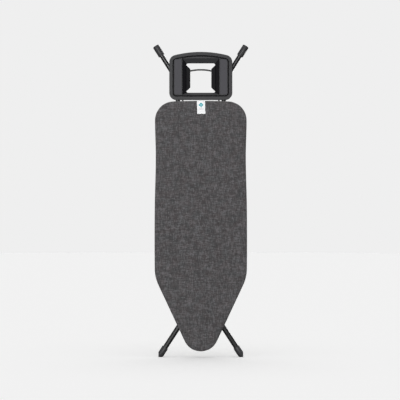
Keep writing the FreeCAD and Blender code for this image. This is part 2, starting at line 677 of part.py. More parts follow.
def inner_brace():
    """Cross-tube of the inner frame, near the lower feet."""
    bar = rod_x(BRACE_R, (-INNER_X, INNER_X), LEG_W, INNER_BRACE_Z)
    for leg in (inner_bar(INNER_R), mirrored(inner_bar(INNER_R))):
        bar = bar.cut(leg)
    return longest(bar)


def longest(shape):
    """The largest solid left after a cut."""
    return max(shape.Solids, key=lambda solid: solid.Volume)


def inner_crossbar():
    """Round bar between the inner tubes; it carries the glides and meets the lock bar."""
    return rod_x(CROSSBAR_R, (-INNER_X + 1.0, INNER_X - 1.0), LEG_W, BAR_Z)


def end_plug(x, z, radius, up):
    """Plastic plug that closes a tube end."""
    inner = (z - 6.5, z) if up > 0 else (z, z + 6.5)
    outer = (z, z + 1.8) if up > 0 else (z - 1.8, z)
    return rod_z(radius - TUBE_T, x, LEG_W, inner).fuse(rod_z(radius, x, LEG_W, outer)).removeSplitter()


def outer_end_plugs():
    """Plugs at the hinge ends of the outer tubes."""
    return pair(rod_z(OUTER_R - TUBE_T, OUTER_X, LEG_W, (HINGE_Z - OUTER_END, HINGE_Z - OUTER_END + 3.5)))


def inner_end_plugs():
    """Plugs at the crossbar ends of the inner tubes."""
    return pair(end_plug(INNER_X, BAR_Z + INNER_END, INNER_R, 1.0))


# ---- feet -------------------------------------------------------------------------------------------------
def foot_bar(x, bend_z, splay, end_z, radius, span):
    """Round bar along the splayed tube, between two distances back from its end."""
    up = 1.0 if end_z > bend_z else -1.0
    axis = Vector(splay, 0, up)
    axis.normalize()
    tip = at(x + splay * abs(end_z - bend_z), LEG_W, end_z)
    return Part.makeCylinder(radius, span[1] - span[0], tip - axis * span[1], axis)


def fluted(foot, x, bend_z, splay, end_z):
    """Foot with shallow lengthwise flutes for grip."""
    up = 1.0 if end_z > bend_z else -1.0
    axis = Vector(splay, 0, up)
    axis.normalize()
    side = axis.cross(Vector(0, 1, 0))
    tip = at(x + splay * abs(end_z - bend_z), LEG_W, end_z)
    for k in range(FLUTE_COUNT):
        angle = 2.0 * math.pi * (k + 0.5) / FLUTE_COUNT
        out = side * (FOOT_R * math.cos(angle)) + Vector(0, FOOT_R * math.sin(angle), 0)
        foot = foot.cut(Part.makeCylinder(FLUTE_R, FOOT_LEN - 26.0, tip - axis * (FOOT_LEN - 6.0) + out, axis))
    return foot


def lower_blank(radius, clip_x):
    """Lower foot as a solid bar, cut off upright on its outer side."""
    bar = foot_bar(INNER_X, INNER_BEND_Z, INNER_SPLAY, FLOOR_Z, radius, (-20.0, FOOT_LEN))
    return bar.common(block((0.0, clip_x), (0.0, 90.0), (FLOOR_Z, TOP_Z)))


def lower_foot():
    """Plastic foot of an inner leg, right-hand side."""
    body = lower_blank(FOOT_R, LOWER_CLIP_X).common(block((0.0, 300.0), (0.0, 90.0), (FLOOR_Z + SOLE_T, 200.0)))
    body = fluted(body, INNER_X, INNER_BEND_Z, INNER_SPLAY, FLOOR_Z)
    return body.cut(inner_bar(INNER_R))


def lower_soles():
    """Rubber soles under the lower feet."""
    blank = lower_blank(FOOT_R - 0.8, LOWER_CLIP_X - 0.8)
    return pair(blank.common(block((0.0, 300.0), (0.0, 90.0), (FLOOR_Z, FLOOR_Z + SOLE_T))))


def upper_end_z():
    """Height of the end of an upper foot's axis, so that its rim comes up to the full height."""
    tilt = math.atan(OUTER_SPLAY)
    reach = FOOT_R - SOLE_ROUND
    return TOP_Z - reach * math.sin(tilt) - SOLE_ROUND * (1.0 - math.cos(tilt))


def upper_foot():
    """Plastic foot of an outer leg, right-hand side."""
    body = foot_bar(OUTER_X, OUTER_BEND_Z, OUTER_SPLAY, upper_end_z(), FOOT_R, (SOLE_T, FOOT_LEN))
    body = fluted(body, OUTER_X, OUTER_BEND_Z, OUTER_SPLAY, upper_end_z())
    return body.cut(outer_bar(OUTER_R))


def upper_soles():
    """Rubber ends of the upper feet."""
    disc = foot_bar(OUTER_X, OUTER_BEND_Z, OUTER_SPLAY, upper_end_z(), FOOT_R, (0.0, SOLE_T))
    rim = [e for e in disc.Edges if e.Length > 2.0 * FOOT_R and e.CenterOfMass.z > disc.CenterOfMass.z]
    return pair(disc.makeFillet(SOLE_ROUND, rim))


# ---- iron rest ---------------------------------------------------------------------------------------------
def tray_slab(inset, w):
    """The iron rest's outline, shrunk by inset, between two depths."""
    top, crown_angle = crowned_end(TRAY_HALF_W, TRAY_Z[1], TRAY_CROWN_R, TRAY_TOP_R)
    low = (TRAY_HALF_W - TRAY_LOW_R, TRAY_Z[0] + TRAY_LOW_R)
    low_corner = arc(low, max(TRAY_LOW_R - inset, 4.0), -math.pi / 2.0, 0.0, w[0])
    top_corner = arc(top, max(TRAY_TOP_R - inset, 4.0), 0.0, crown_angle, w[0])
    crown = arc((0.0, TRAY_Z[1] - TRAY_CROWN_R), TRAY_CROWN_R - inset, crown_angle, math.pi / 2.0, w[0])
    start = Vector(0.0, low_corner.Vertexes[0].Point.y, low_corner.Vertexes[0].Point.z)
    bottom = Part.LineSegment(start, low_corner.Vertexes[0].Point).toShape()
    side = Part.LineSegment(low_corner.Vertexes[-1].Point, top_corner.Vertexes[0].Point).toShape()
    face = closed_face([bottom, low_corner, side, top_corner, crown])
    return face.extrude(Vector(0, w[1] - w[0], 0))


def funnel(grow, w):
    """Sloping well round the opening of the iron rest."""
    outer = rectangle_wire(FUNNEL_X + grow, (FUNNEL_Z[0] - grow, FUNNEL_Z[1] + grow), w[0])
    inner = rectangle_wire(THROAT_X + grow, (THROAT_Z[0] - grow, THROAT_Z[1] + grow), w[1])
    return Part.makeLoft([outer, inner], True, True)


def rectangle_wire(half_width, z, w):
    """Rectangle in the X-Z plane at depth w."""
    corners = [(-half_width, z[0]), (half_width, z[0]), (half_width, z[1]), (-half_width, z[1]), (-half_width, z[0])]
    return Part.makePolygon([at(x, w, height) for x, height in corners])


def tray_ring(grow, w):
    """Band along the groove of the iron rest, widened by grow on both sides, between two depths."""
    return tray_slab(TRAY_RIM - grow, w).cut(tray_slab(TRAY_RIM + TRAY_GROOVE + grow, w))


def tray_frame():
    """Moulded iron rest: rim, groove, sunken panel, sloping well and ribs for the carrier rod."""
    body = tray_slab(0.0, TRAY_W)
    body = body.cut(tray_slab(TRAY_WALL, (FLOOR_W, TRAY_W[1])))
    body = body.fuse(tray_ring(GROOVE_WALL, (FLOOR_W - 1.0, TRAY_W[0] + GROOVE_DEPTH + GROOVE_WALL)))
    body = body.cut(tray_ring(0.0, (TRAY_W[0], TRAY_W[0] + GROOVE_DEPTH)))
    body = body.cut(tray_slab(TRAY_RIM + TRAY_GROOVE, (TRAY_W[0], PANEL_W)))
    body = body.fuse(funnel(TRAY_WALL, (PANEL_W + 1.0, THROAT_W + 4.0)))
    for height in SADDLE_Z_TRAY:
        for side in (-1.0, 1.0):
            x = sorted((side * (ROD_HALF_W - 14.0), side * (ROD_HALF_W + 14.0)))
            body = body.fuse(block(x, (PANEL_W + 3.0, ROD_W - ROD_R), (height - 8.0, height + 8.0)))
    body = body.cut(funnel(0.0, (PANEL_W, THROAT_W)))
    throat = block((-THROAT_X, THROAT_X), (TRAY_W[0], TRAY_W[1] + 4.0), THROAT_Z)
    body = body.cut(throat.makeFillet(THROAT_ROUND, depthwise_edges(throat)))
    for side in (-1.0, 1.0):
        body = body.cut(tray_pad_blank(side, 0.2, (PANEL_W - 1.0, PANEL_W + 2.2)))
    return body.removeSplitter()


def depthwise_edges(shape):
    """Edges that run straight through the depth of a shape."""
    return [e for e in shape.Edges if abs(e.tangentAt(e.FirstParameter).y) > 0.99]


def tray_pad_blank(side, grow, w):
    """Outline of a heat pad beside the well, between two depths."""
    x = sorted((side * (PAD_X[0] - grow), side * (PAD_X[1] + grow)))
    pad = block(x, w, (PAD_Z[0] - grow, PAD_Z[1] + grow))
    return pad.makeFillet(PAD_ROUND, depthwise_edges(pad))


def tray_pad(side):
    """Heat-proof pad let into the panel."""
    return tray_pad_blank(side, 0.0, (PANEL_W - PAD_RISE, PANEL_W + 2.2))


def tray_strip():
    """Heat-proof grip strip on the edge of the opening, right-hand side, with bevelled ends."""
    outline = [
        (THROAT_X, THROAT_Z[0] + THROAT_ROUND + 0.5),
        (STRIP_WIDE_X, THROAT_Z[0] + THROAT_ROUND + 2.5),
        (STRIP_X, THROAT_Z[0] + 26.0),
        (STRIP_X, THROAT_Z[1] - 28.5),
        (STRIP_WIDE_X, THROAT_Z[1] - 14.0),
        (THROAT_X, THROAT_Z[1] - 11.0),
    ]
    return plate(outline, STRIP_W)


def tray_rod():
    """Steel rod in a wide U that carries the iron rest; its bow crosses the opening."""
    corner, crown_angle = crowned_end(ROD_HALF_W, ROD_Z[1], ROD_BOW_R, ROD_CORNER_R)
    bend = arc(corner, ROD_CORNER_R, 0.0, crown_angle, ROD_W)
    leg = Part.LineSegment(at(ROD_HALF_W, ROD_W, ROD_Z[0]), bend.Vertexes[0].Point).toShape()
    bow = arc((0.0, ROD_Z[1] - ROD_BOW_R), ROD_BOW_R, crown_angle, math.pi - crown_angle, ROD_W)
    path = Part.Wire([leg, bend, bow, mirrored(bend), mirrored(leg)])
    profile = Part.Wire(Part.makeCircle(ROD_R, at(ROD_HALF_W, ROD_W, ROD_Z[0]), Vector(0, 0, 1)))
    return path.makePipeShell([profile], True, False)


def saddle_places():
    """Where the rod is clamped: (x, depth of the seat, z)."""
    places = [(ROD_HALF_W, BEAM_W[1], SADDLE_Z_BOARD)]
    places += [(ROD_HALF_W, ROD_W - ROD_R, z) for z in SADDLE_Z_TRAY]
    return places + [(-x, w, z) for x, w, z in places]


def rod_straps():
    """Steel straps that hold the rod down."""
    straps = []
    for x, seat, z in saddle_places():
        body = rod_z(ROD_R + 1.6, x, ROD_W, (z - 5.0, z + 5.0))
        feet = block((x - 13.0, x + 13.0), (ROD_W - ROD_R, ROD_W - ROD_R + 1.6), (z - 5.0, z + 5.0))
        body = body.fuse(feet).removeSplitter()
        body = body.cut(block((x - 20.0, x + 20.0), (0.0, ROD_W - ROD_R), (z - 6.0, z + 6.0)))
        body = body.cut(rod_z(ROD_R, x, ROD_W, (z - 6.0, z + 6.0)))
        body = body.cut(block((x - ROD_R, x + ROD_R), (ROD_W - ROD_R, ROD_W), (z - 6.0, z + 6.0)))
        for dx in (-9.0, 9.0):
            body = body.cut(rod_y(1.75, x + dx, (ROD_W - ROD_R, ROD_W), z))
        straps.append(body)
    return Part.makeCompound(straps)


def rod_saddles():
    """Spacer blocks between the rear beam and the rod."""
    blocks = []
    for x, seat, z in saddle_places():
        if seat == BEAM_W[1]:
            body = block((x - 14.0, x + 14.0), (seat, ROD_W - ROD_R), (z - 8.0, z + 8.0))
            for dx in (-9.0, 9.0):
                body = body.cut(rod_y(1.75, x + dx, (seat, ROD_W), z))
            blocks.append(body)
    return Part.makeCompound(blocks)


def strap_screws():
    """Pan-head screws of the straps."""
    screws = []
    for x, seat, z in saddle_places():
        for dx in (-9.0, 9.0):
            face = ROD_W - ROD_R + 1.6
            head = rod_y(3.4, x + dx, (face, face + 2.2), z)
            shank = rod_y(1.75, x + dx, (face - 5.0, face), z)
            cross = [block((x + dx - a, x + dx + a), (face + 1.2, face + 2.2), (z - b, z + b))
                     for a, b in ((2.0, 0.4), (0.4, 2.0))]
            screws.append(head.fuse(shank).removeSplitter().cut(cross[0]).cut(cross[1]))
    return Part.makeCompound(screws)


def drilled_tray():
    """Iron rest with the pilot holes of the strap screws."""
    body = tray_frame()
    for x, seat, z in saddle_places():
        if seat != BEAM_W[1]:
            for dx in (-9.0, 9.0):
                body = body.cut(rod_y(1.75, x + dx, (ROD_W - ROD_R - 3.4, ROD_W), z))
    return body


def build():
    """Every piece, by name."""
    return {
        "cover": cover(),
        "cover_label": cover_label(),
        "cover_drawcord": cover_drawcord(),
        "cord_lock_barrel": cord_lock_barrel(),
        "cord_lock_button": cord_lock_button(),
        "cord_lock_spring": cord_lock_spring(),
        "underlay": underlay(),
        "deck_mesh": deck_mesh(),
        "rim_channel": rim_channel(),
        "hinge_beam": hinge_beam(),
        "rail_beam": rail_beam(),
        "rear_beam": rear_beam(),
        "hinge_bracket_right": hinge_bracket(),
        "hinge_bracket_left": mirrored(hinge_bracket()),
        "hinge_pins": hinge_pins(),
        "hinge_washers": hinge_washers(),
        "guide_rail_right": guide_rail_right(),
        "guide_rail_left": mirrored(guide_rail()),
        "frame_rivets": frame_rivets(),
        "glide_right": glide(),
        "glide_left": mirrored(glide()),
        "lock_bar": lock_bar(),
        "lock_bracket": lock_bracket(),
        "lock_pin": lock_pin(),
        "lock_spring": lock_spring(),
        "release_rod": release_rod(),
        "release_handle": release_handle(),
        "lever_bracket": lever_bracket(),
        "lever_spring": lever_spring(),
        "safety_slider": safety_slider(),
        "outer_leg_right": outer_leg(),
        "outer_leg_left": mirrored(outer_leg()),
        "outer_brace": outer_brace(),
        "outer_hinge_sleeves": outer_hinge_sleeves(),
        "outer_end_plugs": outer_end_plugs(),
        "pivot_bolts": pivot_bolts(),
        "pivot_washers": pivot_washers(),
        "pivot_nuts": pivot_nuts(),
        "upper_foot_right": upper_foot(),
        "upper_foot_left": mirrored(upper_foot()),
        "upper_soles": upper_soles(),
        "inner_leg_right": inner_leg(),
        "inner_leg_left": mirrored(inner_leg()),
        "inner_brace": inner_brace(),
        "inner_crossbar": inner_crossbar(),
        "inner_pivot_sleeves": inner_pivot_sleeves(),
        "inner_end_plugs": inner_end_plugs(),
        "lower_foot_right": lower_foot(),
        "lower_foot_left": mirrored(lower_foot()),
        "lower_soles": lower_soles(),
        "tray_frame": drilled_tray(),
        "tray_pad_right": tray_pad(1.0),
        "tray_pad_left": tray_pad(-1.0),
        "tray_strip_right": tray_strip(),
        "tray_strip_left": mirrored(tray_strip()),
        "tray_rod": tray_rod(),
        "rod_saddles": rod_saddles(),
        "rod_straps": rod_straps(),
        "strap_screws": strap_screws(),
    }


os.makedirs("parts", exist_ok=True)
for name, shape in build().items():
    shape.exportStep("parts/%s.step" % name)
    print("%-22s valid=%s solids=%d volume=%.1f cm3" % (name, shape.isValid(), len(shape.Solids), shape.Volume / 1000.0))
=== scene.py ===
"""Folding ironing board, stored upright on its lower feet: soft goods, finishes and studio.

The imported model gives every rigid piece. This script adds the fitted cover, its label, felt and
drawcord, the open metal deck and the stitching, and gives every piece the finish of its real material.
All lengths are in metres, in the model's own frame: +Z up the board, -Y out of the ironing surface.
"""

import logging
import math
from dataclasses import dataclass, field
from enum import Enum
from typing import Iterable, Optional, Sequence

import bmesh
import bpy
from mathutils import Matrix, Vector, geometry, noise


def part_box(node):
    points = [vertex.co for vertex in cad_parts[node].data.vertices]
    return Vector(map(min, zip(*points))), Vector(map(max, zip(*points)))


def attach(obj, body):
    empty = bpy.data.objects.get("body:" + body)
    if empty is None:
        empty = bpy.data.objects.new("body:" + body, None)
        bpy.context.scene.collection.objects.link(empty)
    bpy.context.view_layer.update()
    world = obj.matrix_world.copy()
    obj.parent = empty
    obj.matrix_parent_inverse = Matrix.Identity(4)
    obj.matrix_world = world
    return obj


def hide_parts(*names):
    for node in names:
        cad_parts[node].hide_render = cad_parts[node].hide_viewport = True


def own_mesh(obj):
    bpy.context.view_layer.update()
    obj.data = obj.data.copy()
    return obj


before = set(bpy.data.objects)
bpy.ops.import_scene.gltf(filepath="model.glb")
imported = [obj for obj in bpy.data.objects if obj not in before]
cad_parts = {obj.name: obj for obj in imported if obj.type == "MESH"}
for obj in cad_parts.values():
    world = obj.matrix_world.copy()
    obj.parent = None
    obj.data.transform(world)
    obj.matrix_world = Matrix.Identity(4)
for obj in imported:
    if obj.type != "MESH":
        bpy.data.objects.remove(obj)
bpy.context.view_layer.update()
LOG = logging.getLogger("ironing_board")
MM = 0.001
YARN_SCATTER = 7.31     # noise steps from one yarn to the next, so that neighbours differ

Point2 = tuple[float, float]
Link = tuple[bpy.types.NodeSocket, object]


# ---- small tools -------------------------------------------------------------------------------
def linear(hex_colour: str) -> tuple[float, float, float, float]:
    """Turns an sRGB hex colour into linear RGBA.

    Args:
        hex_colour: six hex digits.

    Returns:
        Linear red, green and blue, and an alpha of one.
    """
    channels = [int(hex_colour[i:i + 2], 16) / 255.0 for i in (0, 2, 4)]
    red, green, blue = (c / 12.92 if c <= 0.04045 else ((c + 0.055) / 1.055) ** 2.4 for c in channels)
    return (red, green, blue, 1.0)


def add_node(tree: bpy.types.NodeTree, kind: str, settings: Optional[dict] = None,
             links: Optional[dict] = None) -> bpy.types.Node:
    """Adds a node, sets it up and links its inputs.

    Args:
        tree: the node tree.
        kind: the node's bl_idname.
        settings: attribute names, or input names and numbers, with their values.
        links: input names or numbers, with the output sockets that feed them.

    Returns:
        The new node.
    """
    node = tree.nodes.new(kind)
    for key, value in (settings or {}).items():
        if isinstance(key, str) and hasattr(node, key):
            setattr(node, key, value)
        else:
            node.inputs[key].default_value = value
    for key, socket in (links or {}).items():
        tree.links.new(socket, node.inputs[key])
    return node


def smooth_object(name: str, mesh: bpy.types.Mesh) -> bpy.types.Object:
    """Wraps a mesh in a linked object with smooth faces."""
    mesh.polygons.foreach_set("use_smooth", [True] * len(mesh.polygons))
    piece = bpy.data.objects.new(name, mesh)
    bpy.context.scene.collection.objects.link(piece)
    return piece


def applied(piece: bpy.types.Object) -> bpy.types.Object:
    """Bakes a piece's modifiers into its mesh.

    Args:
        piece: the object; its modifiers are removed.

    Returns:
        The same object, with the evaluated mesh.
    """
    graph = bpy.context.evaluated_depsgraph_get()
    mesh = bpy.data.meshes.new_from_object(piece.evaluated_get(graph))
    piece.modifiers.clear()
    piece.data = mesh
    return piece


def smoothstep(value: float) -> float:
    """Eases a value from 0 to 1, and holds it outside."""
    t = min(1.0, max(0.0, value))
    return t * t * (3.0 - 2.0 * t)


# ---- finishes ------------------------------------------------------------------------------------
class Grain(Enum):
    """How a surface was left by its maker."""

    ORANGE_PEEL = "melted powder, gently pebbled"
    SPARK_ERODED = "fine even texture of a mould"
    BRUSHED = "drawn wire or rolled strip"
    CLOUDED = "zinc passivation in soft clouds"
    PLAIN = "as moulded"


def object_coordinates(tree: bpy.types.NodeTree, scale: Sequence[float] = (1.0, 1.0, 1.0)) -> bpy.types.NodeSocket:
    """Object coordinates, scaled per axis.

    Args:
        tree: the material's node tree.
        scale: repeats per metre along X, Y and Z.

    Returns:
        The vector socket.
    """
    coordinates = add_node(tree, "ShaderNodeTexCoord")
    mapping = add_node(tree, "ShaderNodeMapping", {"Scale": scale}, {"Vector": coordinates.outputs["Object"]})
    return mapping.outputs["Vector"]


def new_material(name: str) -> tuple[bpy.types.Material, bpy.types.NodeTree, bpy.types.Node]:
    """A material with an empty Principled shader.

    Args:
        name: the finish's name.

    Returns:
        The material, its tree and its Principled node.
    """
    material = bpy.data.materials.new(name)
    material.use_nodes = True
    tree = material.node_tree
    tree.nodes.clear()
    shader = add_node(tree, "ShaderNodeBsdfPrincipled")
    add_node(tree, "ShaderNodeOutputMaterial", links={"Surface": shader.outputs["BSDF"]})
    return material, tree, shader


@dataclass(frozen=True)
class HardFinish:
    """A coated, moulded or plated surface, coloured by slow variation and textured by fine bump."""

    name: str
    dark: str
    light: str
    roughness: tuple[float, float]
    grain: Grain
    grain_mm: float
    bump_mm: float = 0.02
    metallic: float = 0.0
    cloud_mm: float = 60.0
    ior: float = 1.5
    specular: float = 0.5

    def build(self) -> bpy.types.Material:
        """Builds the material.

        Returns:
            The finished material.
        """
        material, tree, shader = new_material(self.name)
        if self.metallic == 0.0:
            shader.inputs["IOR"].default_value = self.ior
        shader.inputs["Metallic"].default_value = self.metallic
        shader.inputs["Specular IOR Level"].default_value = self.specular
        clouds = add_node(tree, "ShaderNodeTexNoise", {"Scale": 1.0, "Detail": 4.0, "Roughness": 0.6},
                          {"Vector": object_coordinates(tree, [1.0 / (self.cloud_mm * MM)] * 3)})
        tint = add_node(tree, "ShaderNodeMix", {"data_type": "RGBA", 6: linear(self.dark), 7: linear(self.light)},
                        {"Factor": clouds.outputs["Fac"]})
        tree.links.new(tint.outputs[2], shader.inputs["Base Color"])
        across = 1.0 / (self.grain_mm * MM)
        stretch = [across, across, across / 12.0] if self.grain is Grain.BRUSHED else [across] * 3
        detail = {Grain.ORANGE_PEEL: 1.0, Grain.SPARK_ERODED: 3.0}.get(self.grain, 2.0)
        grain = add_node(tree, "ShaderNodeTexNoise", {"Scale": 1.0, "Detail": detail},
                         {"Vector": object_coordinates(tree, stretch)})
        gloss = add_node(tree, "ShaderNodeMapRange", {"To Min": self.roughness[0], "To Max": self.roughness[1]},
                         {"Value": clouds.outputs["Fac"]})
        tree.links.new(gloss.outputs["Result"], shader.inputs["Roughness"])
        bump = add_node(tree, "ShaderNodeBump", {"Strength": 1.0, "Distance": self.bump_mm * MM},
                        {"Height": grain.outputs["Fac"]})
        tree.links.new(bump.outputs["Normal"], shader.inputs["Normal"])
        return material


@dataclass(frozen=True)
class Threads:
    """One set of parallel yarns: how wide each is drawn and how far a slub runs along it."""

    width_mm: float
    slub_mm: float
    seed: float


@dataclass(frozen=True)
class MelangeCotton:
    """Charcoal cotton of mixed yarns: pale and dark slubs along warp and weft, with faint tint patches."""

    name: str = "charcoal melange cotton"
    dark: str = "2F2D2E"
    mid: str = "504E4F"
    light: str = "79777A"
    warm: str = "574E4E"
    cool: str = "4C5152"
    slubs: Threads = Threads(4.3, 24.0, 3.7)    # real slubs are 1 mm wide; drawn wider so that they show
    yarns: Threads = Threads(1.3, 11.0, 8.1)    # real yarns are 0.4 mm apart; drawn coarser to hold the weave
    float_mm: float = 6.0
    patch_mm: float = 18.0

    @staticmethod
    def run(tree: bpy.types.NodeTree, cloth: bpy.types.NodeSocket, threads: Threads,
            upright: bool) -> bpy.types.NodeSocket:
        """Light and dark stretches along one set of yarns.

        Args:
            tree: the material's tree.
            cloth: flat cloth coordinates in metres.
            threads: the yarns.
            upright: True for yarns that run up the board.

        Returns:
            A factor from 0 to 1.
        """
        width, slub, even = threads.width_mm * MM, threads.slub_mm * MM, 0.00001
        steps = (width, even, 1.0) if upright else (even, width, 1.0)
        apart = YARN_SCATTER / width
        scale = (apart, 1.0 / slub, 1.0) if upright else (1.0 / slub, apart, 1.0)
        banded = add_node(tree, "ShaderNodeVectorMath", {"operation": "SNAP", 1: steps}, {0: cloth})
        offset = (threads.seed, 0.0, threads.seed) if upright else (0.0, threads.seed, -threads.seed)
        mapped = add_node(tree, "ShaderNodeMapping", {"Scale": scale, "Location": offset},
                          {"Vector": banded.outputs[0]})
        shade = add_node(tree, "ShaderNodeTexNoise", {"Scale": 1.0, "Detail": 0.0},
                         {"Vector": mapped.outputs["Vector"]})
        span = add_node(tree, "ShaderNodeMapRange", {"From Min": 0.33, "From Max": 0.67},
                        {"Value": shade.outputs["Fac"]})
        return span.outputs["Result"]

    def build(self) -> bpy.types.Material:
        """Builds the cloth.

        Returns:
            The finished material.
        """
        material, tree, shader = new_material(self.name)
        cloth = add_node(tree, "ShaderNodeUVMap", {"uv_map": "cloth"}).outputs["UV"]
        floats = add_node(tree, "ShaderNodeTexNoise", {"Scale": 1.0 / (self.float_mm * MM), "Detail": 1.0},
                          {"Vector": cloth})
        over = add_node(tree, "ShaderNodeMapRange", {"From Min": 0.3, "From Max": 0.7},
                        {"Value": floats.outputs["Fac"]})
        layers = []
        for threads in (self.slubs, self.yarns):
            layer = add_node(tree, "ShaderNodeMix", {"data_type": "FLOAT"},
                             {0: over.outputs["Result"], 2: self.run(tree, cloth, threads, True),
                              3: self.run(tree, cloth, threads, False)})
            layers.append(layer.outputs[0])
        woven = add_node(tree, "ShaderNodeMix", {"data_type": "FLOAT", 0: 0.42}, {2: layers[0], 3: layers[1]})
        ramp = add_node(tree, "ShaderNodeValToRGB", links={"Fac": woven.outputs[0]})
        ramp.color_ramp.elements[0].color = linear(self.dark)
        ramp.color_ramp.elements[1].color = linear(self.light)
        ramp.color_ramp.elements.new(0.5).color = linear(self.mid)
        tint_noise = add_node(tree, "ShaderNodeTexNoise", {"Scale": 0.5 / (self.patch_mm * MM), "Detail": 2.0},
                              {"Vector": cloth})
        tint_factor = add_node(tree, "ShaderNodeMapRange", {"From Min": 0.35, "From Max": 0.65},
                               {"Value": tint_noise.outputs["Fac"]})
        tint = add_node(tree, "ShaderNodeMix", {"data_type": "RGBA", 6: linear(self.cool), 7: linear(self.warm)},
                        {0: tint_factor.outputs["Result"]})
        colour = add_node(tree, "ShaderNodeMix", {"data_type": "RGBA", 0: 0.22},
                          {6: ramp.outputs["Color"], 7: tint.outputs[2]})
        tree.links.new(colour.outputs[2], shader.inputs["Base Color"])
        picks = math.pi / (self.yarns.width_mm * MM)
        waves = []
        for axis in ("X", "Y"):
            wave = add_node(tree, "ShaderNodeTexWave",
                            {"wave_type": "BANDS", "bands_direction": axis, "Scale": picks / 20.0,
                             "Distortion": 0.4, "Detail": 1.0}, {"Vector": cloth})
            waves.append(wave.outputs["Fac"])
        weave = add_node(tree, "ShaderNodeMath", {"operation": "MULTIPLY"}, {0: waves[0], 1: waves[1]})
        relief = add_node(tree, "ShaderNodeMath", {"operation": "ADD"}, {0: weave.outputs[0], 1: woven.outputs[0]})
        bump = add_node(tree, "ShaderNodeBump", {"Strength": 0.8, "Distance": 0.25 * MM}, {"Height": relief.outputs[0]})
        tree.links.new(bump.outputs["Normal"], shader.inputs["Normal"])
        shader.inputs["Roughness"].default_value = 0.92
        shader.inputs["Sheen Weight"].default_value = 0.2
        shader.inputs["Sheen Roughness"].default_value = 0.5
        shader.inputs["Specular IOR Level"].default_value = 0.25
        return material


@dataclass(frozen=True)
class NeedledFelt:
    """Pale recycled felt: matted fibres with darker and lighter specks."""

    name: str = "needled felt"
    dark: str = "B3B0A6"
    light: str = "DEDBD1"
    fibre_mm: float = 1.6

    def build(self) -> bpy.types.Material:
        """Builds the felt.

        Returns:
            The finished material.
        """
        material, tree, shader = new_material(self.name)
        fibres = add_node(tree, "ShaderNodeTexNoise", {"Scale": 1.0, "Detail": 5.0, "Distortion": 1.6},
                          {"Vector": object_coordinates(tree, [1.0 / (self.fibre_mm * MM)] * 3)})
        tint = add_node(tree, "ShaderNodeMix", {"data_type": "RGBA", 6: linear(self.dark), 7: linear(self.light)},
                        {0: fibres.outputs["Fac"]})
        tree.links.new(tint.outputs[2], shader.inputs["Base Color"])
        bump = add_node(tree, "ShaderNodeBump", {"Distance": 0.5 * MM}, {"Height": fibres.outputs["Fac"]})
        tree.links.new(bump.outputs["Normal"], shader.inputs["Normal"])
        shader.inputs["Roughness"].default_value = 0.95
        shader.inputs["Sheen Weight"].default_value = 0.3
        return material


@dataclass(frozen=True)
class WovenTape:
    """White satin label with a plain teal lozenge and two rows of faint grey picks."""

    name: str = "white woven label"
    ground: str = "F7F8F9"
    teal: str = "3FA3AE"
    pale: str = "8FD0D6"
    grey: str = "D6CFD6"
    lozenge: Point2 = (0.0, 0.0075)   # its middle, from the middle of the label's lower panel
    lozenge_size: float = 0.0125
    rows: tuple[float, float] = (-0.0105, -0.0155)

    def build(self) -> bpy.types.Material:
        """Builds the label's cloth.

        Returns:
            The finished material.
        """
        material, tree, shader = new_material(self.name)
        label = add_node(tree, "ShaderNodeUVMap", {"uv_map": "cloth"}).outputs["UV"]
        parts = add_node(tree, "ShaderNodeSeparateXYZ", links={0: label})

        def away(axis: str, centre: float) -> bpy.types.NodeSocket:
            """Distance from a centre line along one axis."""
            offset = add_node(tree, "ShaderNodeMath", {"operation": "SUBTRACT", 1: centre}, {0: parts.outputs[axis]})
            return add_node(tree, "ShaderNodeMath", {"operation": "ABSOLUTE"}, {0: offset.outputs[0]}).outputs[0]

        def below(socket: bpy.types.NodeSocket, limit: float) -> bpy.types.NodeSocket:
            """One where the socket is under the limit."""
            return add_node(tree, "ShaderNodeMath", {"operation": "LESS_THAN", 1: limit}, {0: socket}).outputs[0]

        reach = add_node(tree, "ShaderNodeMath", {"operation": "ADD"},
                         {0: away("X", self.lozenge[0]), 1: away("Y", self.lozenge[1])})
        colour = add_node(tree, "ShaderNodeMix", {"data_type": "RGBA", 6: linear(self.ground), 7: linear(self.teal)},
                          {0: below(reach.outputs[0], self.lozenge_size)})
        colour = add_node(tree, "ShaderNodeMix", {"data_type": "RGBA", 7: linear(self.pale)},
                          {0: below(reach.outputs[0], self.lozenge_size * 0.45), 6: colour.outputs[2]})
        for row in self.rows:
            band = add_node(tree, "ShaderNodeMath", {"operation": "MULTIPLY"},
                            {0: below(away("Y", row), 0.0012), 1: below(away("X", 0.0), 0.012)})
            colour = add_node(tree, "ShaderNodeMix", {"data_type": "RGBA", 7: linear(self.grey)},
                              {0: band.outputs[0], 6: colour.outputs[2]})
        tree.links.new(colour.outputs[2], shader.inputs["Base Color"])
        ribs = add_node(tree, "ShaderNodeTexWave", {"bands_direction": "Y", "Scale": 60.0, "Distortion": 0.4},
                        {"Vector": label})
        bump = add_node(tree, "ShaderNodeBump", {"Distance": 0.08 * MM}, {"Height": ribs.outputs["Fac"]})
        tree.links.new(bump.outputs["Normal"], shader.inputs["Normal"])
        shader.inputs["Roughness"].default_value = 0.55
        shader.inputs["Sheen Weight"].default_value = 0.2
        return material


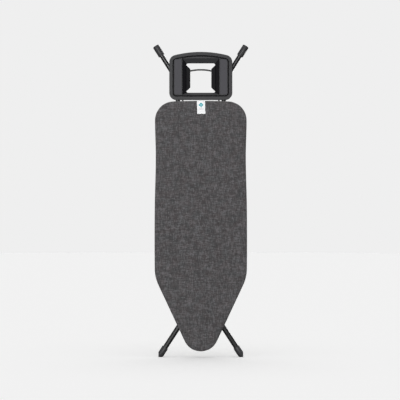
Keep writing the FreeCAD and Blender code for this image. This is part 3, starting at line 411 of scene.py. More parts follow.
class Finishes:
    """Every finish of the board, built once."""

    def __init__(self) -> None:
        """Builds the materials."""
        # Polyester powder coat on tube: satin black that melts into a faint orange peel.
        self.black_coat = HardFinish("black polyester powder coat", "161617", "1D1D1E", (0.34, 0.44),
                                     Grain.ORANGE_PEEL, 1.4, 0.03, ior=1.5).build()
        # Light grey powder coat of the parts under the cover.
        self.grey_coat = HardFinish("light grey powder coat", "A3A7A8", "B2B5B5", (0.42, 0.55),
                                    Grain.ORANGE_PEEL, 1.4, 0.03).build()
        # Glass-filled polypropylene from a spark-eroded mould: dull, even and slightly grey.
        self.tray_plastic = HardFinish("textured black polypropylene", "2A2A2C", "323234", (0.5, 0.62),
                                       Grain.SPARK_ERODED, 0.7, 0.03, ior=1.49, specular=0.35).build()
        # Polyamide of the feet, plugs and lever: the same black with a little more sheen.
        self.foot_plastic = HardFinish("moulded black polyamide", "2A2A2C", "343437", (0.45, 0.6),
                                       Grain.SPARK_ERODED, 0.6, 0.02, ior=1.53).build()
        # Acetal of the catch: a lighter grey that tells it from the lever, smooth and slightly waxy.
        self.grey_plastic = HardFinish("grey acetal", "6A6C6F", "777A7D", (0.4, 0.5), Grain.PLAIN, 0.8, 0.01,
                                       ior=1.48).build()
        # Undyed nylon of the glides and washers: creamy white, smooth and half dull.
        self.nylon = HardFinish("natural nylon", "CFCBBE", "DEDACD", (0.4, 0.5), Grain.PLAIN, 0.8, 0.01,
                                ior=1.53).build()
        # Heat-proof silicone: soft, dull and a shade lighter than the moulding.
        self.pad_silicone = HardFinish("grey heat-proof silicone", "414045", "4A494E", (0.6, 0.7),
                                       Grain.SPARK_ERODED, 0.5, 0.02, ior=1.41).build()
        # Black heat-proof silicone of the grip strips beside the opening; the same near-black is also laid on the
        # tray's groove and the well's sloping sides as painted shade.
        self.black_silicone_and_painted_shade = HardFinish("black heat-proof silicone and painted shade", "0E0D10", "141317", (0.6, 0.7),
                                         Grain.SPARK_ERODED, 0.5, 0.02, ior=1.41, specular=0.2).build()
        # Rubber of the soles: the dullest black on the board.
        self.sole_rubber = HardFinish("black thermoplastic rubber", "1C1C1D", "262627", (0.7, 0.82),
                                      Grain.SPARK_ERODED, 0.8, 0.03, ior=1.52).build()
        # Zinc plate: bright grey with soft cloudy patches.
        self.zinc = HardFinish("zinc plated steel", "A8A9A6", "C3C4C0", (0.28, 0.42), Grain.CLOUDED, 0.5, 0.01,
                               metallic=1.0, cloud_mm=9.0).build()
        # Zinc under clear lacquer on the expanded metal: mid grey with slow tonal clouds.
        self.galvanised = HardFinish("lacquered expanded steel", "5C6062", "797D7F", (0.34, 0.46), Grain.CLOUDED, 0.6,
                                     0.01, cloud_mm=14.0).build()
        # Bare drawn wire of the springs: bright steel with fine lines along it.
        self.drawn_wire = HardFinish("drawn spring wire", "8F9091", "A9AAAB", (0.22, 0.32), Grain.BRUSHED, 0.3, 0.01,
                                     metallic=1.0, cloud_mm=6.0).build()
        # Sewing thread: near-black dashes on the charcoal hem.
        self.thread = HardFinish("charcoal sewing thread", "2B2A2B", "3A393A", (0.7, 0.8), Grain.PLAIN, 0.4,
                                 0.03).build()
        # Polyester braid of the drawcord: black and dull, with fine ridges.
        self.braid = HardFinish("black polyester braid", "19191A", "242426", (0.6, 0.7), Grain.BRUSHED, 0.5,
                                0.06).build()
        self.cotton = MelangeCotton().build()
        self.felt = NeedledFelt().build()
        self.tape = WovenTape().build()


def dress(material: bpy.types.Material, names: Iterable[str]) -> None:
    """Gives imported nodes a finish.

    Args:
        material: the finish.
        names: the nodes' names.
    """
    for name in names:
        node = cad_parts[name]
        node.data.materials.clear()
        node.data.materials.append(material)


def soften(names: Iterable[str], width: float, angle: float = 32.0) -> None:
    """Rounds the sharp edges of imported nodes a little, as moulded or pressed edges are.

    Args:
        names: the nodes' names.
        width: the width of the rounding.
        angle: edges sharper than this many degrees are rounded.
    """
    for name in names:
        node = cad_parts[name]
        weld = node.modifiers.new("weld", "WELD")
        weld.merge_threshold = 0.00002
        bevel = node.modifiers.new("edges", "BEVEL")
        bevel.width = width
        bevel.segments = 2
        bevel.limit_method = "ANGLE"
        bevel.angle_limit = math.radians(angle)
        bevel.harden_normals = True


# ---- outline -------------------------------------------------------------------------------------
@dataclass
class BoardOutline:
    """Closed outline of the covered board: nose arc, tapers, shoulders, waisted sides, crowned rear edge."""

    nose_r: float = 0.0886
    nose_z: float = 0.1196
    taper: float = math.radians(25.1)
    shoulder_r: float = 0.2
    shoulder: Point2 = (0.0287, 0.4435)
    side: tuple[Point2, ...] = ((0.2292, 0.56), (0.2282, 0.753), (0.223, 0.991))
    rear_z: float = 1.271
    rear_half: float = 0.227
    corner_r: float = 0.094
    crown_r: float = 3.5
    count: int = 400

    def half(self) -> list[Point2]:
        """Right-hand half of the outline, from the nose to the middle of the rear edge.

        Returns:
            Closely spaced points.
        """
        points = [self.on_arc((0.0, self.nose_z), self.nose_r, -math.pi / 2 + a * (math.pi / 2 - self.taper) / 40)
                  for a in range(41)]
        points += [self.on_arc(self.shoulder, self.shoulder_r, -self.taper * (1 - a / 20)) for a in range(21)]
        reach = self.crown_r - self.corner_r
        corner_x = self.rear_half - self.corner_r
        corner = (corner_x, self.rear_z - self.crown_r + math.sqrt(reach ** 2 - corner_x ** 2))
        knots = [points[-1], *self.side, self.on_arc(corner, self.corner_r, 0.0)]
        points += self.through(knots)
        end = math.pi / 2 - math.asin(corner_x / reach)
        points += [self.on_arc(corner, self.corner_r, end * a / 30) for a in range(31)]
        points += [self.on_arc((0.0, self.rear_z - self.crown_r), self.crown_r, end + (math.pi / 2 - end) * a / 30)
                   for a in range(1, 31)]
        return points

    @staticmethod
    def on_arc(centre: Point2, radius: float, angle: float) -> Point2:
        """Point on an arc."""
        return (centre[0] + radius * math.cos(angle), centre[1] + radius * math.sin(angle))

    @staticmethod
    def through(knots: Sequence[Point2]) -> list[Point2]:
        """Smooth curve through the side's points, upright at both ends.

        Args:
            knots: the points, going up.

        Returns:
            Points between the knots, with the last knot.
        """
        slopes = [0.0]
        for before, after in zip(knots, knots[2:]):
            slopes.append((after[0] - before[0]) / (after[1] - before[1]))
        slopes.append(0.0)
        points = []
        for (x0, z0), (x1, z1), m0, m1 in zip(knots, knots[1:], slopes, slopes[1:]):
            gap = z1 - z0
            for step in range(1, 21):
                t = step / 20.0
                x = ((2 * t ** 3 - 3 * t ** 2 + 1) * x0 + (t ** 3 - 2 * t ** 2 + t) * gap * m0
                     + (-2 * t ** 3 + 3 * t ** 2) * x1 + (t ** 3 - t ** 2) * gap * m1)
                points.append((x, z0 + t * gap))
        return points

    def loop(self) -> tuple[list[Vector], list[Vector]]:
        """The whole outline, evenly spaced.

        Returns:
            Points in the X-Z plane and their outward normals.
        """
        right = self.half()
        ring = right + [(-x, z) for x, z in reversed(right[1:-1])]
        lengths = [0.0]
        for (x0, z0), (x1, z1) in zip(ring, ring[1:] + ring[:1]):
            lengths.append(lengths[-1] + math.hypot(x1 - x0, z1 - z0))
        points: list[Vector] = []
        index = 0
        for step in range(self.count):
            target = lengths[-1] * step / self.count
            while lengths[index + 1] < target:
                index += 1
            share = (target - lengths[index]) / max(1e-9, lengths[index + 1] - lengths[index])
            (x0, z0), (x1, z1) = ring[index], ring[(index + 1) % len(ring)]
            points.append(Vector((x0 + (x1 - x0) * share, z0 + (z1 - z0) * share)))
        normals = []
        for i, _ in enumerate(points):
            chord = points[(i + 1) % self.count] - points[i - 1]
            normals.append(Vector((chord.y, -chord.x)).normalized())
        return points, normals

    def perimeter(self) -> float:
        """Length of the whole outline."""
        points, _ = self.loop()
        return sum((a - b).length for a, b in zip(points, points[1:] + points[:1]))


# ---- studio --------------------------------------------------------------------------------------
@dataclass
class Studio:
    """Pale seamless floor and backdrop, soft lights, and a level camera square to the board."""

    distance: float = 7.0
    lens_height: float = 0.7802
    lens_x: float = -0.004
    frame_height: float = 1.9773     # height of the picture at the ironing surface
    pale: str = "EFEFEF"
    radius: float = 14.0
    floor_glow: float = 0.38
    floor_paper: float = 0.8
    unlit: Optional[bpy.types.Collection] = None

    def camera(self) -> bpy.types.Object:
        """Places the camera.

        Returns:
            The camera object.
        """
        data = bpy.data.cameras.new("camera")
        data.sensor_width = 36.0
        data.sensor_fit = "HORIZONTAL"
        data.lens = data.sensor_width * self.distance / self.frame_height
        data.clip_end = 60.0
        camera = bpy.data.objects.new("camera", data)
        bpy.context.scene.collection.objects.link(camera)
        face_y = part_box("cover")[0][1]
        camera.location = (self.lens_x, face_y - self.distance, self.lens_height)
        camera.rotation_euler = (math.pi / 2, 0.0, 0.0)
        bpy.context.scene.camera = camera
        return camera

    def paper(self, name: str, rings: Sequence[Sequence[Point2]], glow: float, paper: float) -> bpy.types.Object:
        """Makes one round part of the set: paper that also glows a little, so that it stays even.

        Args:
            name: the object's name.
            rings: radius and height of each of its rings.
            glow: how much light it gives off.
            paper: how much light it scatters.

        Returns:
            The object.
        """
        mesh = bpy.data.meshes.new(name)
        sides = 96
        turns = [2.0 * math.pi * i / sides for i in range(sides)]
        places = [(radius * math.cos(t), radius * math.sin(t), height) for radius, height in rings for t in turns]
        quads = []
        for low in range(0, (len(rings) - 1) * sides, sides):
            high = low + sides
            quads += [(low + i, low + (i + 1) % sides, high + (i + 1) % sides, high + i) for i in range(sides)]
        mesh.from_pydata(places, [], quads)
        part = smooth_object(name, mesh)
        material, _, shader = new_material("matt pale paper " + name)
        shader.inputs["Base Color"].default_value = (paper, paper, paper, 1.0)
        shader.inputs["Roughness"].default_value = 1.0
        shader.inputs["Specular IOR Level"].default_value = 0.0
        shader.inputs["Emission Color"].default_value = (1.0, 1.0, 1.0, 1.0)
        shader.inputs["Emission Strength"].default_value = glow
        mesh.materials.append(material)
        part.visible_glossy = False
        part.visible_diffuse = False
        part.visible_shadow = False
        return part

    def backdrop(self) -> None:
        """Builds the floor and the wall; lamps that would light them unevenly leave them out."""
        floor = self.paper("studio_floor", [(0.001, 0.0), (self.radius, 0.0)], self.floor_glow, self.floor_paper)
        wall = self.paper("studio_wall", [(self.radius, 0.0), (self.radius, 9.0), (0.001, 9.0)],
                          linear(self.pale)[0], 0.0)
        self.unlit = bpy.data.collections.new("studio_set")
        for part in (floor, wall):
            self.unlit.objects.link(part)
        for entry in self.unlit.collection_objects:
            entry.light_linking.link_state = "EXCLUDE"

    def light(self, name: str, place: Sequence[float], aim: Sequence[float], size: Point2, power: float) -> None:
        """Adds one soft box.

        Args:
            name: the light's name.
            place: where it stands.
            aim: what it points at.
            size: its width and height.
            power: its power in watts.
        """
        data = bpy.data.lights.new(name, "AREA")
        data.shape = "RECTANGLE"
        data.size, data.size_y = size
        data.energy = power
        lamp = bpy.data.objects.new(name, data)
        bpy.context.scene.collection.objects.link(lamp)
        lamp.location = place
        lamp.rotation_euler = (Vector(aim) - Vector(place)).to_track_quat("-Z", "Y").to_euler()
        lamp.light_linking.receiver_collection = self.unlit

    def dome(self, strength: float) -> None:
        """Adds even light from the whole ceiling.

        Args:
            strength: its strength.
        """
        data = bpy.data.lights.new("ceiling_glow", "SUN")
        data.energy = strength
        data.angle = math.radians(70.0)
        lamp = bpy.data.objects.new("ceiling_glow", data)
        bpy.context.scene.collection.objects.link(lamp)

    def build(self) -> None:
        """Sets up camera, backdrop, lights and the view transform."""
        self.camera()
        self.backdrop()
        world = bpy.data.worlds.new("studio_air")
        bpy.context.scene.world = world
        world.use_nodes = True
        background = world.node_tree.nodes["Background"]
        background.inputs["Color"].default_value = (1.0, 1.0, 1.0, 1.0)
        background.inputs["Strength"].default_value = 0.12
        self.dome(1.6)
        middle = (0.0, 0.0, 0.8)
        self.light("front_box", (-0.8, -6.5, 1.5), middle, (1.4, 1.4), 270.0)
        self.light("left_box", (-3.4, -2.6, 2.6), middle, (1.6, 2.6), 30.0)
        self.light("right_box", (3.4, -2.6, 2.2), middle, (1.6, 2.6), 16.0)
        self.light("back_box", (1.0, 5.0, 2.0), middle, (2.4, 2.4), 220.0)
        bpy.context.scene.view_settings.view_transform = "Standard"
        bpy.context.scene.view_settings.look = "None"


# ---- soft goods ----------------------------------------------------------------------------------
@dataclass
class Cover:
    """Fitted cover: flat face, rolled edge, skirt, and a gathered return with the drawcord's hem."""

    outline: BoardOutline
    face_y: float
    edge_r: float = 0.008
    back_w: float = 0.0267
    back_r: float = 0.005
    hem_inset: float = 0.028
    hem_r: float = 0.0032
    thickness: float = 0.0011
    grid: float = 0.014
    ripple: float = 0.0062
    puff_cap: float = 0.0022
    roll_steps: int = 4
    stitch_row: int = 11
    hem_line: list[Vector] = field(default_factory=list)
    piece: Optional[bpy.types.Object] = None

    def section(self) -> list[Point2]:
        """Cross-section of the cover's edge as (inset, depth), from the face to the hem.

        Returns:
            The points of the section.
        """
        def around(inset: float, depth: float, radius: float, start: float, end: float, steps: int) -> list[Point2]:
            """Points on an arc of the section."""
            angles = [math.radians(start + (end - start) * i / steps) for i in range(steps + 1)]
            return [(inset - radius * math.sin(a), depth - radius * math.cos(a)) for a in angles]

        points = around(self.edge_r, self.edge_r, self.edge_r, 0.0, 90.0, self.roll_steps)
        points += [(0.0004, 0.0145)]
        points += around(self.back_r, self.back_w - self.back_r, self.back_r, 90.0, 180.0, 3)
        points += [(0.0125, self.back_w + 0.0002), (0.0195, self.back_w)]
        points += around(self.hem_inset - self.hem_r, self.back_w - self.hem_r, self.hem_r, 180.0, 400.0, 6)
        return points

    def gather(self, points: Sequence[Vector]) -> list[float]:
        """How much spare cloth the return has at each outline point: most where the outline turns.

        Args:
            points: the outline.

        Returns:
            A share from 0 to 1 for each point.
        """
        count = len(points)
        turns = []
        for i in range(count):
            before = points[i] - points[i - 3]
            after = points[(i + 3) % count] - points[i]
            turns.append(abs(before.angle_signed(after)) / max(1e-6, after.length))
        spread = 9
        shares = []
        for i in range(count):
            window = [turns[(i + k) % count] for k in range(-spread, spread + 1)]
            shares.append(min(1.0, 0.18 + 0.085 * sum(window) / len(window)))
        return shares

    def mesh(self) -> bpy.types.Mesh:
        """Builds the cover's single layer: triangulated face, quad bands round the edge.

        Returns:
            The mesh, with its flat cloth coordinates in the UV map "cloth".
        """
        points, normals = self.outline.loop()
        count = len(points)
        gathers = self.gather(points)
        spacing = self.outline.perimeter() / count
        section = self.section()
        run = [0.0]
        for (i0, w0), (i1, w1) in zip(section, section[1:]):
            run.append(run[-1] + math.hypot(i1 - i0, w1 - w0))
        bm = bmesh.new()
        flat: dict[int, Point2] = {}
        rings = []
        for row, (inset, depth) in enumerate(section):
            ring = []
            for i in range(count):
                arc = i * spacing
                ridge = 1.0 - 2.2 * abs(noise.noise(Vector((arc / 0.017, 2.0, 0.7))))
                fold = 0.6 * ridge + 0.4 * noise.noise(Vector((arc / 0.008, 7.0, 0.0)))
                grow = smoothstep((run[row] - 0.012) / (run[-1] * 0.62))
                lift = self.ripple * gathers[i] * grow * (0.35 + fold)
                pull = 0.0009 * gathers[i] * smoothstep(run[row] / 0.012) * noise.noise(Vector((arc / 0.021, 0.0, 4.0)))
                place = points[i] - normals[i] * (inset + pull)
                vert = bm.verts.new((place.x, self.face_y + depth + lift, place.y))
                cloth = points[i] + normals[i] * (run[row] - self.edge_r)
                flat[len(flat)] = (cloth.x, cloth.y)
                ring.append(vert)
            rings.append(ring)
        bm.verts.index_update()
        for outer, inner in zip(rings, rings[1:]):
            for i in range(count):
                j = (i + 1) % count
                bm.faces.new((outer[i], inner[i], inner[j], outer[j]))
        self.fill_face(bm, rings[0], flat)
        uv = bm.loops.layers.uv.new("cloth")
        for face in bm.faces:
            for corner in face.loops:
                corner[uv].uv = flat[corner.vert.index]
        mesh = bpy.data.meshes.new("cover_cloth")
        bmesh.ops.recalc_face_normals(bm, faces=bm.faces)
        bm.to_mesh(mesh)
        bm.free()
        return mesh

    def fill_face(self, bm: bmesh.types.BMesh, ring: Sequence[bmesh.types.BMVert], flat: dict[int, Point2]) -> None:
        """Fills the flat face inside its outer ring with even triangles.

        Args:
            bm: the mesh under construction.
            ring: the face's outer ring.
            flat: cloth coordinates by vertex index; the new vertices are added.
        """
        rim = [Vector((v.co.x, v.co.z)) for v in ring]
        inside = []
        low, high = min(p.y for p in rim), max(p.y for p in rim)
        side = max(p.x for p in rim)
        rows = int((high - low) / (self.grid * 0.866))
        for row in range(1, rows):
            z = low + row * self.grid * 0.866
            for column in range(-int(side / self.grid) - 1, int(side / self.grid) + 2):
                x = (column + 0.5 * (row % 2)) * self.grid
                spot = Vector((x, z))
                if self.contains(rim, spot, self.grid * 0.6):
                    inside.append(spot)
        edges = [(i, (i + 1) % len(rim)) for i in range(len(rim))]
        verts, _, faces, _, _, _ = geometry.delaunay_2d_cdt(rim + inside, edges, [], 1, 1e-7)
        made = list(ring)
        for spot in verts[len(rim):]:
            vert = bm.verts.new((spot.x, self.face_y, spot.y))
            flat[len(flat)] = (spot.x, spot.y)
            made.append(vert)
        bm.verts.index_update()
        for face in faces:
            bm.faces.new([made[i] for i in face])

    @staticmethod
    def contains(rim: Sequence[Vector], spot: Vector, margin: float) -> bool:
        """Whether a spot is inside the rim and clear of it.

        Args:
            rim: the closed outline.
            spot: the point to test.
            margin: how far it has to be from the outline.

        Returns:
            True if it is.
        """
        inside = False
        for a, b in zip(rim, rim[1:] + rim[:1]):
            if (a.y > spot.y) != (b.y > spot.y):
                if spot.x < (b.x - a.x) * (spot.y - a.y) / (b.y - a.y) + a.x:
                    inside = not inside
            if abs(a.x - spot.x) < margin and abs(a.y - spot.y) < margin:
                return False
        return inside

    def relax(self, piece: bpy.types.Object) -> None:
        """Lets the cloth settle over the felt: it swells a little and is held by its hem.

        Args:
            piece: the cover.
        """
        mesh = piece.data
        start = [v.co.copy() for v in mesh.vertices]
        outward = [v.normal.copy() for v in mesh.vertices]
        held = piece.vertex_groups.new(name="held")
        deepest = self.face_y + self.back_w * 0.75
        for vert in mesh.vertices:
            held.add([vert.index], smoothstep((vert.co.y - self.face_y) / (deepest - self.face_y)), "REPLACE")
        cloth = piece.modifiers.new("cloth", "CLOTH")
        settings = cloth.settings
        settings.quality = 5
        settings.mass = 0.25
        settings.tension_stiffness = 15.0
        settings.compression_stiffness = 12.0
        settings.bending_stiffness = 0.6
        settings.vertex_group_mass = "held"
        settings.use_pressure = True
        settings.uniform_pressure_force = 2.0
        settings.shrink_min = -0.004
        settings.effector_weights.gravity = 0.0
        cloth.collision_settings.use_collision = False
        scene = bpy.context.scene
        scene.frame_start, scene.frame_end = 1, 20
        for step in range(1, 21):
            scene.frame_set(step)
        graph = bpy.context.evaluated_depsgraph_get()
        settled = piece.evaluated_get(graph).to_mesh()
        moved = [v.co.copy() for v in settled.vertices]
        piece.evaluated_get(graph).to_mesh_clear()
        piece.modifiers.clear()
        piece.vertex_groups.clear()
        scene.frame_set(1)
        for vert, before, after, normal in zip(mesh.vertices, start, moved, outward):
            step = after - before
            step -= normal * min(0.0, step.dot(normal))     # the felt under it keeps it from sinking
            length = step.length
            if length > self.puff_cap:
                step *= self.puff_cap / length
            vert.co = before + step

    def build(self, finishes: Finishes) -> bpy.types.Object:
        """Makes the cover.

        Args:
            finishes: the materials.

        Returns:
            The cover piece.
        """
        piece = smooth_object("fitted_cover", self.mesh())
        self.relax(piece)
        first = self.stitch_row * self.outline.count
        self.hem_line = [v.co.copy() for v in piece.data.vertices[first:first + self.outline.count]]
        finer = piece.modifiers.new("finer", "SUBSURF")
        finer.levels = finer.render_levels = 1
        wall = piece.modifiers.new("wall", "SOLIDIFY")
        wall.thickness = self.thickness
        wall.offset = -1.0
        applied(piece)
        piece.data.materials.clear()
        piece.data.materials.append(finishes.cotton)
        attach(piece, "board")
        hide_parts("cover")
        wrap = 2.0 * (self.back_w + self.hem_inset)
        area = self.face_area() + self.outline.perimeter() * wrap / 2.0
        self.piece = piece
        return piece

    def face_area(self) -> float:
        """Area inside the outline."""
        points, _ = self.outline.loop()
        return 0.5 * abs(sum(a.x * b.y - b.x * a.y for a, b in zip(points, points[1:] + points[:1])))


@dataclass
class Underlay:
    """Felt between cover and deck, pressed a little into the openings of the mesh."""

    outline: BoardOutline
    face_y: float
    inset: float = 0.0022
    top_w: float = 0.0013
    back_w: float = 0.0074
    dimple: float = 0.0006

    def build(self, finishes: Finishes) -> bpy.types.Object:
        """Makes the felt.

        Args:
            finishes: the materials.

        Returns:
            The felt piece.
        """
        points, normals = self.outline.loop()
        bm = bmesh.new()
        rings = []
        for inset, depth in ((0.011, self.top_w), (0.004, self.top_w + 0.0006), (0.0004, 0.0042), (0.001, 0.0066),
                             (0.006, self.back_w)):
            ring = []
            for point, normal in zip(points, normals):
                place = point - normal * (self.inset + inset)
                ring.append(bm.verts.new((place.x, self.face_y + depth, place.y)))
            rings.append(ring)
        for outer, inner in zip(rings, rings[1:]):
            for i in range(len(points)):
                j = (i + 1) % len(points)
                bm.faces.new((outer[i], inner[i], inner[j], outer[j]))
        flat: dict[int, Point2] = {i: (0.0, 0.0) for i in range(len(bm.verts))}
        filler = Cover(self.outline, self.face_y + self.back_w, grid=0.012)
        filler.fill_face(bm, rings[-1], flat)
        front = Cover(self.outline, self.face_y + self.top_w, grid=0.03)
        front.fill_face(bm, rings[0], flat)
        for vert in bm.verts:
            if abs(vert.co.y - self.face_y - self.back_w) < 1e-5:
                swell = noise.noise(Vector((vert.co.x / 0.02, 0.0, vert.co.z / 0.03)))
                vert.co.y += self.dimple * swell - self.dimple
        bmesh.ops.recalc_face_normals(bm, faces=bm.faces)
        mesh = bpy.data.meshes.new("felt_underlay")
        bm.to_mesh(mesh)
        bm.free()
        piece = smooth_object("felt_underlay", mesh)
        mesh.materials.append(finishes.felt)
        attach(piece, "board")
        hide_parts("underlay")
        return piece


@dataclass
class Deck:
    """Expanded-metal deck: rows of zigzag strands that meet in long diamonds."""

    outline: BoardOutline
    face_y: float
    inset: float = 0.012
    centre_w: float = 0.0081
    cell: Point2 = (0.017, 0.036)      # width and height of a diamond
    strand: Point2 = (0.0021, 0.0011)  # width and thickness of a strand

    def strands(self) -> bpy.types.Mesh:
        """The zigzag centre lines, cut off at the rim.

        Returns:
            A mesh of edges only.
        """
        points, normals = self.outline.loop()
        rim = [p - n * self.inset for p, n in zip(points, normals)]
        low, high = min(p.y for p in rim), max(p.y for p in rim)
        half_cells = int(max(p.x for p in rim) / (self.cell[0] / 2)) + 1
        bm = bmesh.new()
        y = self.face_y + self.centre_w
        for row in range(int((high - low) / (self.cell[1] / 2)) + 1):
            base = low + row * self.cell[1] / 2
            spots = [Vector((column * self.cell[0] / 2, base + self.cell[1] / 2 * ((column + row) % 2)))
                     for column in range(-half_cells, half_cells + 1)]
            held = [Cover.contains(rim, spot, 0.0) for spot in spots]
            verts = [bm.verts.new((p.x, y, p.y)) if inside else None for p, inside in zip(spots, held)]
            for i in range(len(spots) - 1):
                if not (held[i] or held[i + 1]):
                    continue
                ends = [verts[i], verts[i + 1]]
                for k in (0, 1):
                    if ends[k] is None:
                        end = self.cut(rim, spots[i + 1 - k], spots[i + k])
                        ends[k] = bm.verts.new((end.x, y, end.y))
                bm.edges.new(ends)
        mesh = bpy.data.meshes.new("deck_strands")
        bm.to_mesh(mesh)
        bm.free()
        return mesh

    @staticmethod
    def cut(rim: Sequence[Vector], inner: Vector, outer: Vector) -> Vector:
        """Where a strand crosses the rim.

        Args:
            rim: the closed outline.
            inner: the strand's end inside it.
            outer: the strand's end outside it.

        Returns:
            The crossing, to about 0.1 mm.
        """
        for _ in range(8):
            middle = (inner + outer) / 2.0
            if Cover.contains(rim, middle, 0.0):
                inner = middle
            else:
                outer = middle
        return inner

    def tree(self, finishes: Finishes) -> bpy.types.NodeTree:
        """Geometry nodes that turn centre lines into flat strands.

        Args:
            finishes: the materials.

        Returns:
            The node tree.
        """
        tree = bpy.data.node_groups.new("expanded_metal", "GeometryNodeTree")
        face = tree.interface
        face.new_socket("Geometry", in_out="INPUT", socket_type="NodeSocketGeometry")
        for name in ("Strand Width", "Strand Thickness"):
            face.new_socket(name, in_out="INPUT", socket_type="NodeSocketFloat")
        face.new_socket("Geometry", in_out="OUTPUT", socket_type="NodeSocketGeometry")
        given = add_node(tree, "NodeGroupInput")
        curves = add_node(tree, "GeometryNodeMeshToCurve", links={"Mesh": given.outputs["Geometry"]})
        upright = add_node(tree, "GeometryNodeSetCurveNormal", {"mode": "Z_UP"}, {"Curve": curves.outputs["Curve"]})
        profile = add_node(tree, "GeometryNodeCurvePrimitiveQuadrilateral",
                           links={"Width": given.outputs["Strand Width"], "Height": given.outputs["Strand Thickness"]})
        swept = add_node(tree, "GeometryNodeCurveToMesh", {"Fill Caps": True},
                         {"Curve": upright.outputs["Curve"], "Profile Curve": profile.outputs["Curve"]})
        real = add_node(tree, "GeometryNodeRealizeInstances", links={"Geometry": swept.outputs["Mesh"]})
        coat = add_node(tree, "GeometryNodeSetMaterial", {"Material": finishes.galvanised},
                        {"Geometry": real.outputs["Geometry"]})
        add_node(tree, "NodeGroupOutput", links={"Geometry": coat.outputs["Geometry"]})
        return tree

    def build(self, finishes: Finishes) -> bpy.types.Object:
        """Makes the deck.

        Args:
            finishes: the materials.

        Returns:
            The deck piece.
        """
        piece = bpy.data.objects.new("expanded_metal_deck", self.strands())
        bpy.context.scene.collection.objects.link(piece)
        grow_nodes(piece, self.tree(finishes), {"Strand Width": self.strand[0], "Strand Thickness": self.strand[1]})
        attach(piece, "board")
        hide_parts("deck_mesh")
        return piece


def grow_nodes(piece: bpy.types.Object, tree: bpy.types.NodeTree, inputs: dict[str, float]) -> None:
    """Runs a geometry-nodes tree on a piece and keeps the result as a plain mesh.

    Args:
        piece: the object that the tree starts from.
        tree: the node tree.
        inputs: values of the tree's named inputs.
    """
    modifier = piece.modifiers.new(tree.name, "NODES")
    modifier.node_group = tree
    for item in tree.interface.items_tree:
        if item.item_type == "SOCKET" and item.in_out == "INPUT" and item.name in inputs:
            modifier[item.identifier] = inputs[item.name]
    applied(piece)


def sweep_tube(bm: bmesh.types.BMesh, path: Sequence[Vector], radii: Sequence[float], closed: bool = False,
               sides: int = 8) -> None:
    """Sweeps a round section along a path.

    Args:
        bm: the mesh under construction.
        path: the centre line.
        radii: the section's radius at each point.
        closed: True if the path joins up.
        sides: corners of the section.
    """
    rings = []
    count = len(path)
    for i, (spot, radius) in enumerate(zip(path, radii)):
        ahead = path[(i + 1) % count] if closed or i + 1 < count else spot
        behind = path[i - 1] if closed or i else spot
        along = (ahead - behind).normalized()
        side = along.cross(Vector((0.3, 0.2, 1.0) if abs(along.z) < 0.9 else (1.0, 0.0, 0.0))).normalized()
        up = along.cross(side)
        rings.append([bm.verts.new(spot + side * radius * math.cos(a) + up * radius * math.sin(a))
                      for a in (2.0 * math.pi * k / sides for k in range(sides))])
    for first, second in list(zip(rings, rings[1:])) + ([(rings[-1], rings[0])] if closed else []):
        for k in range(sides):
            j = (k + 1) % sides
            bm.faces.new((first[k], first[j], second[j], second[k]))
    if not closed:
        bm.faces.new(rings[0][::-1])
        bm.faces.new(rings[-1])


@dataclass
class ToggleSpring:
    """Compression spring under the toggle's button, at its rest length."""

    face_y: float
    centre_w: float = 0.0355
    floor_z: float = 0.047
    height: float = 0.0045
    stroke: float = 0.003
    radius: float = 0.0035
    wire_r: float = 0.00025
    turns: int = 3
    steps: int = 32         # to a turn

    def build(self, finishes: Finishes) -> bpy.types.Object:
        """Makes the spring.

        Args:
            finishes: the materials.

        Returns:
            The spring piece.
        """
        foot = Vector((0.0, self.face_y + self.centre_w, self.floor_z))
        count = self.turns * self.steps
        rise = self.height - 2.0 * self.wire_r
        path = []
        for i in range(count + 1):
            turn = 2.0 * math.pi * i / self.steps
            path.append(foot + Vector((self.radius * math.cos(turn), self.radius * math.sin(turn),
                                       self.wire_r + rise * i / count)))
        bm = bmesh.new()
        sweep_tube(bm, path, [self.wire_r] * len(path))
        bmesh.ops.recalc_face_normals(bm, faces=bm.faces)
        mesh = bpy.data.meshes.new("toggle_spring")
        bm.to_mesh(mesh)
        bm.free()
        piece = smooth_object("toggle_spring", mesh)
        mesh.materials.append(finishes.drawn_wire)
        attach(piece, "board")
        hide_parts("cord_lock_spring")
        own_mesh(piece)
        return piece


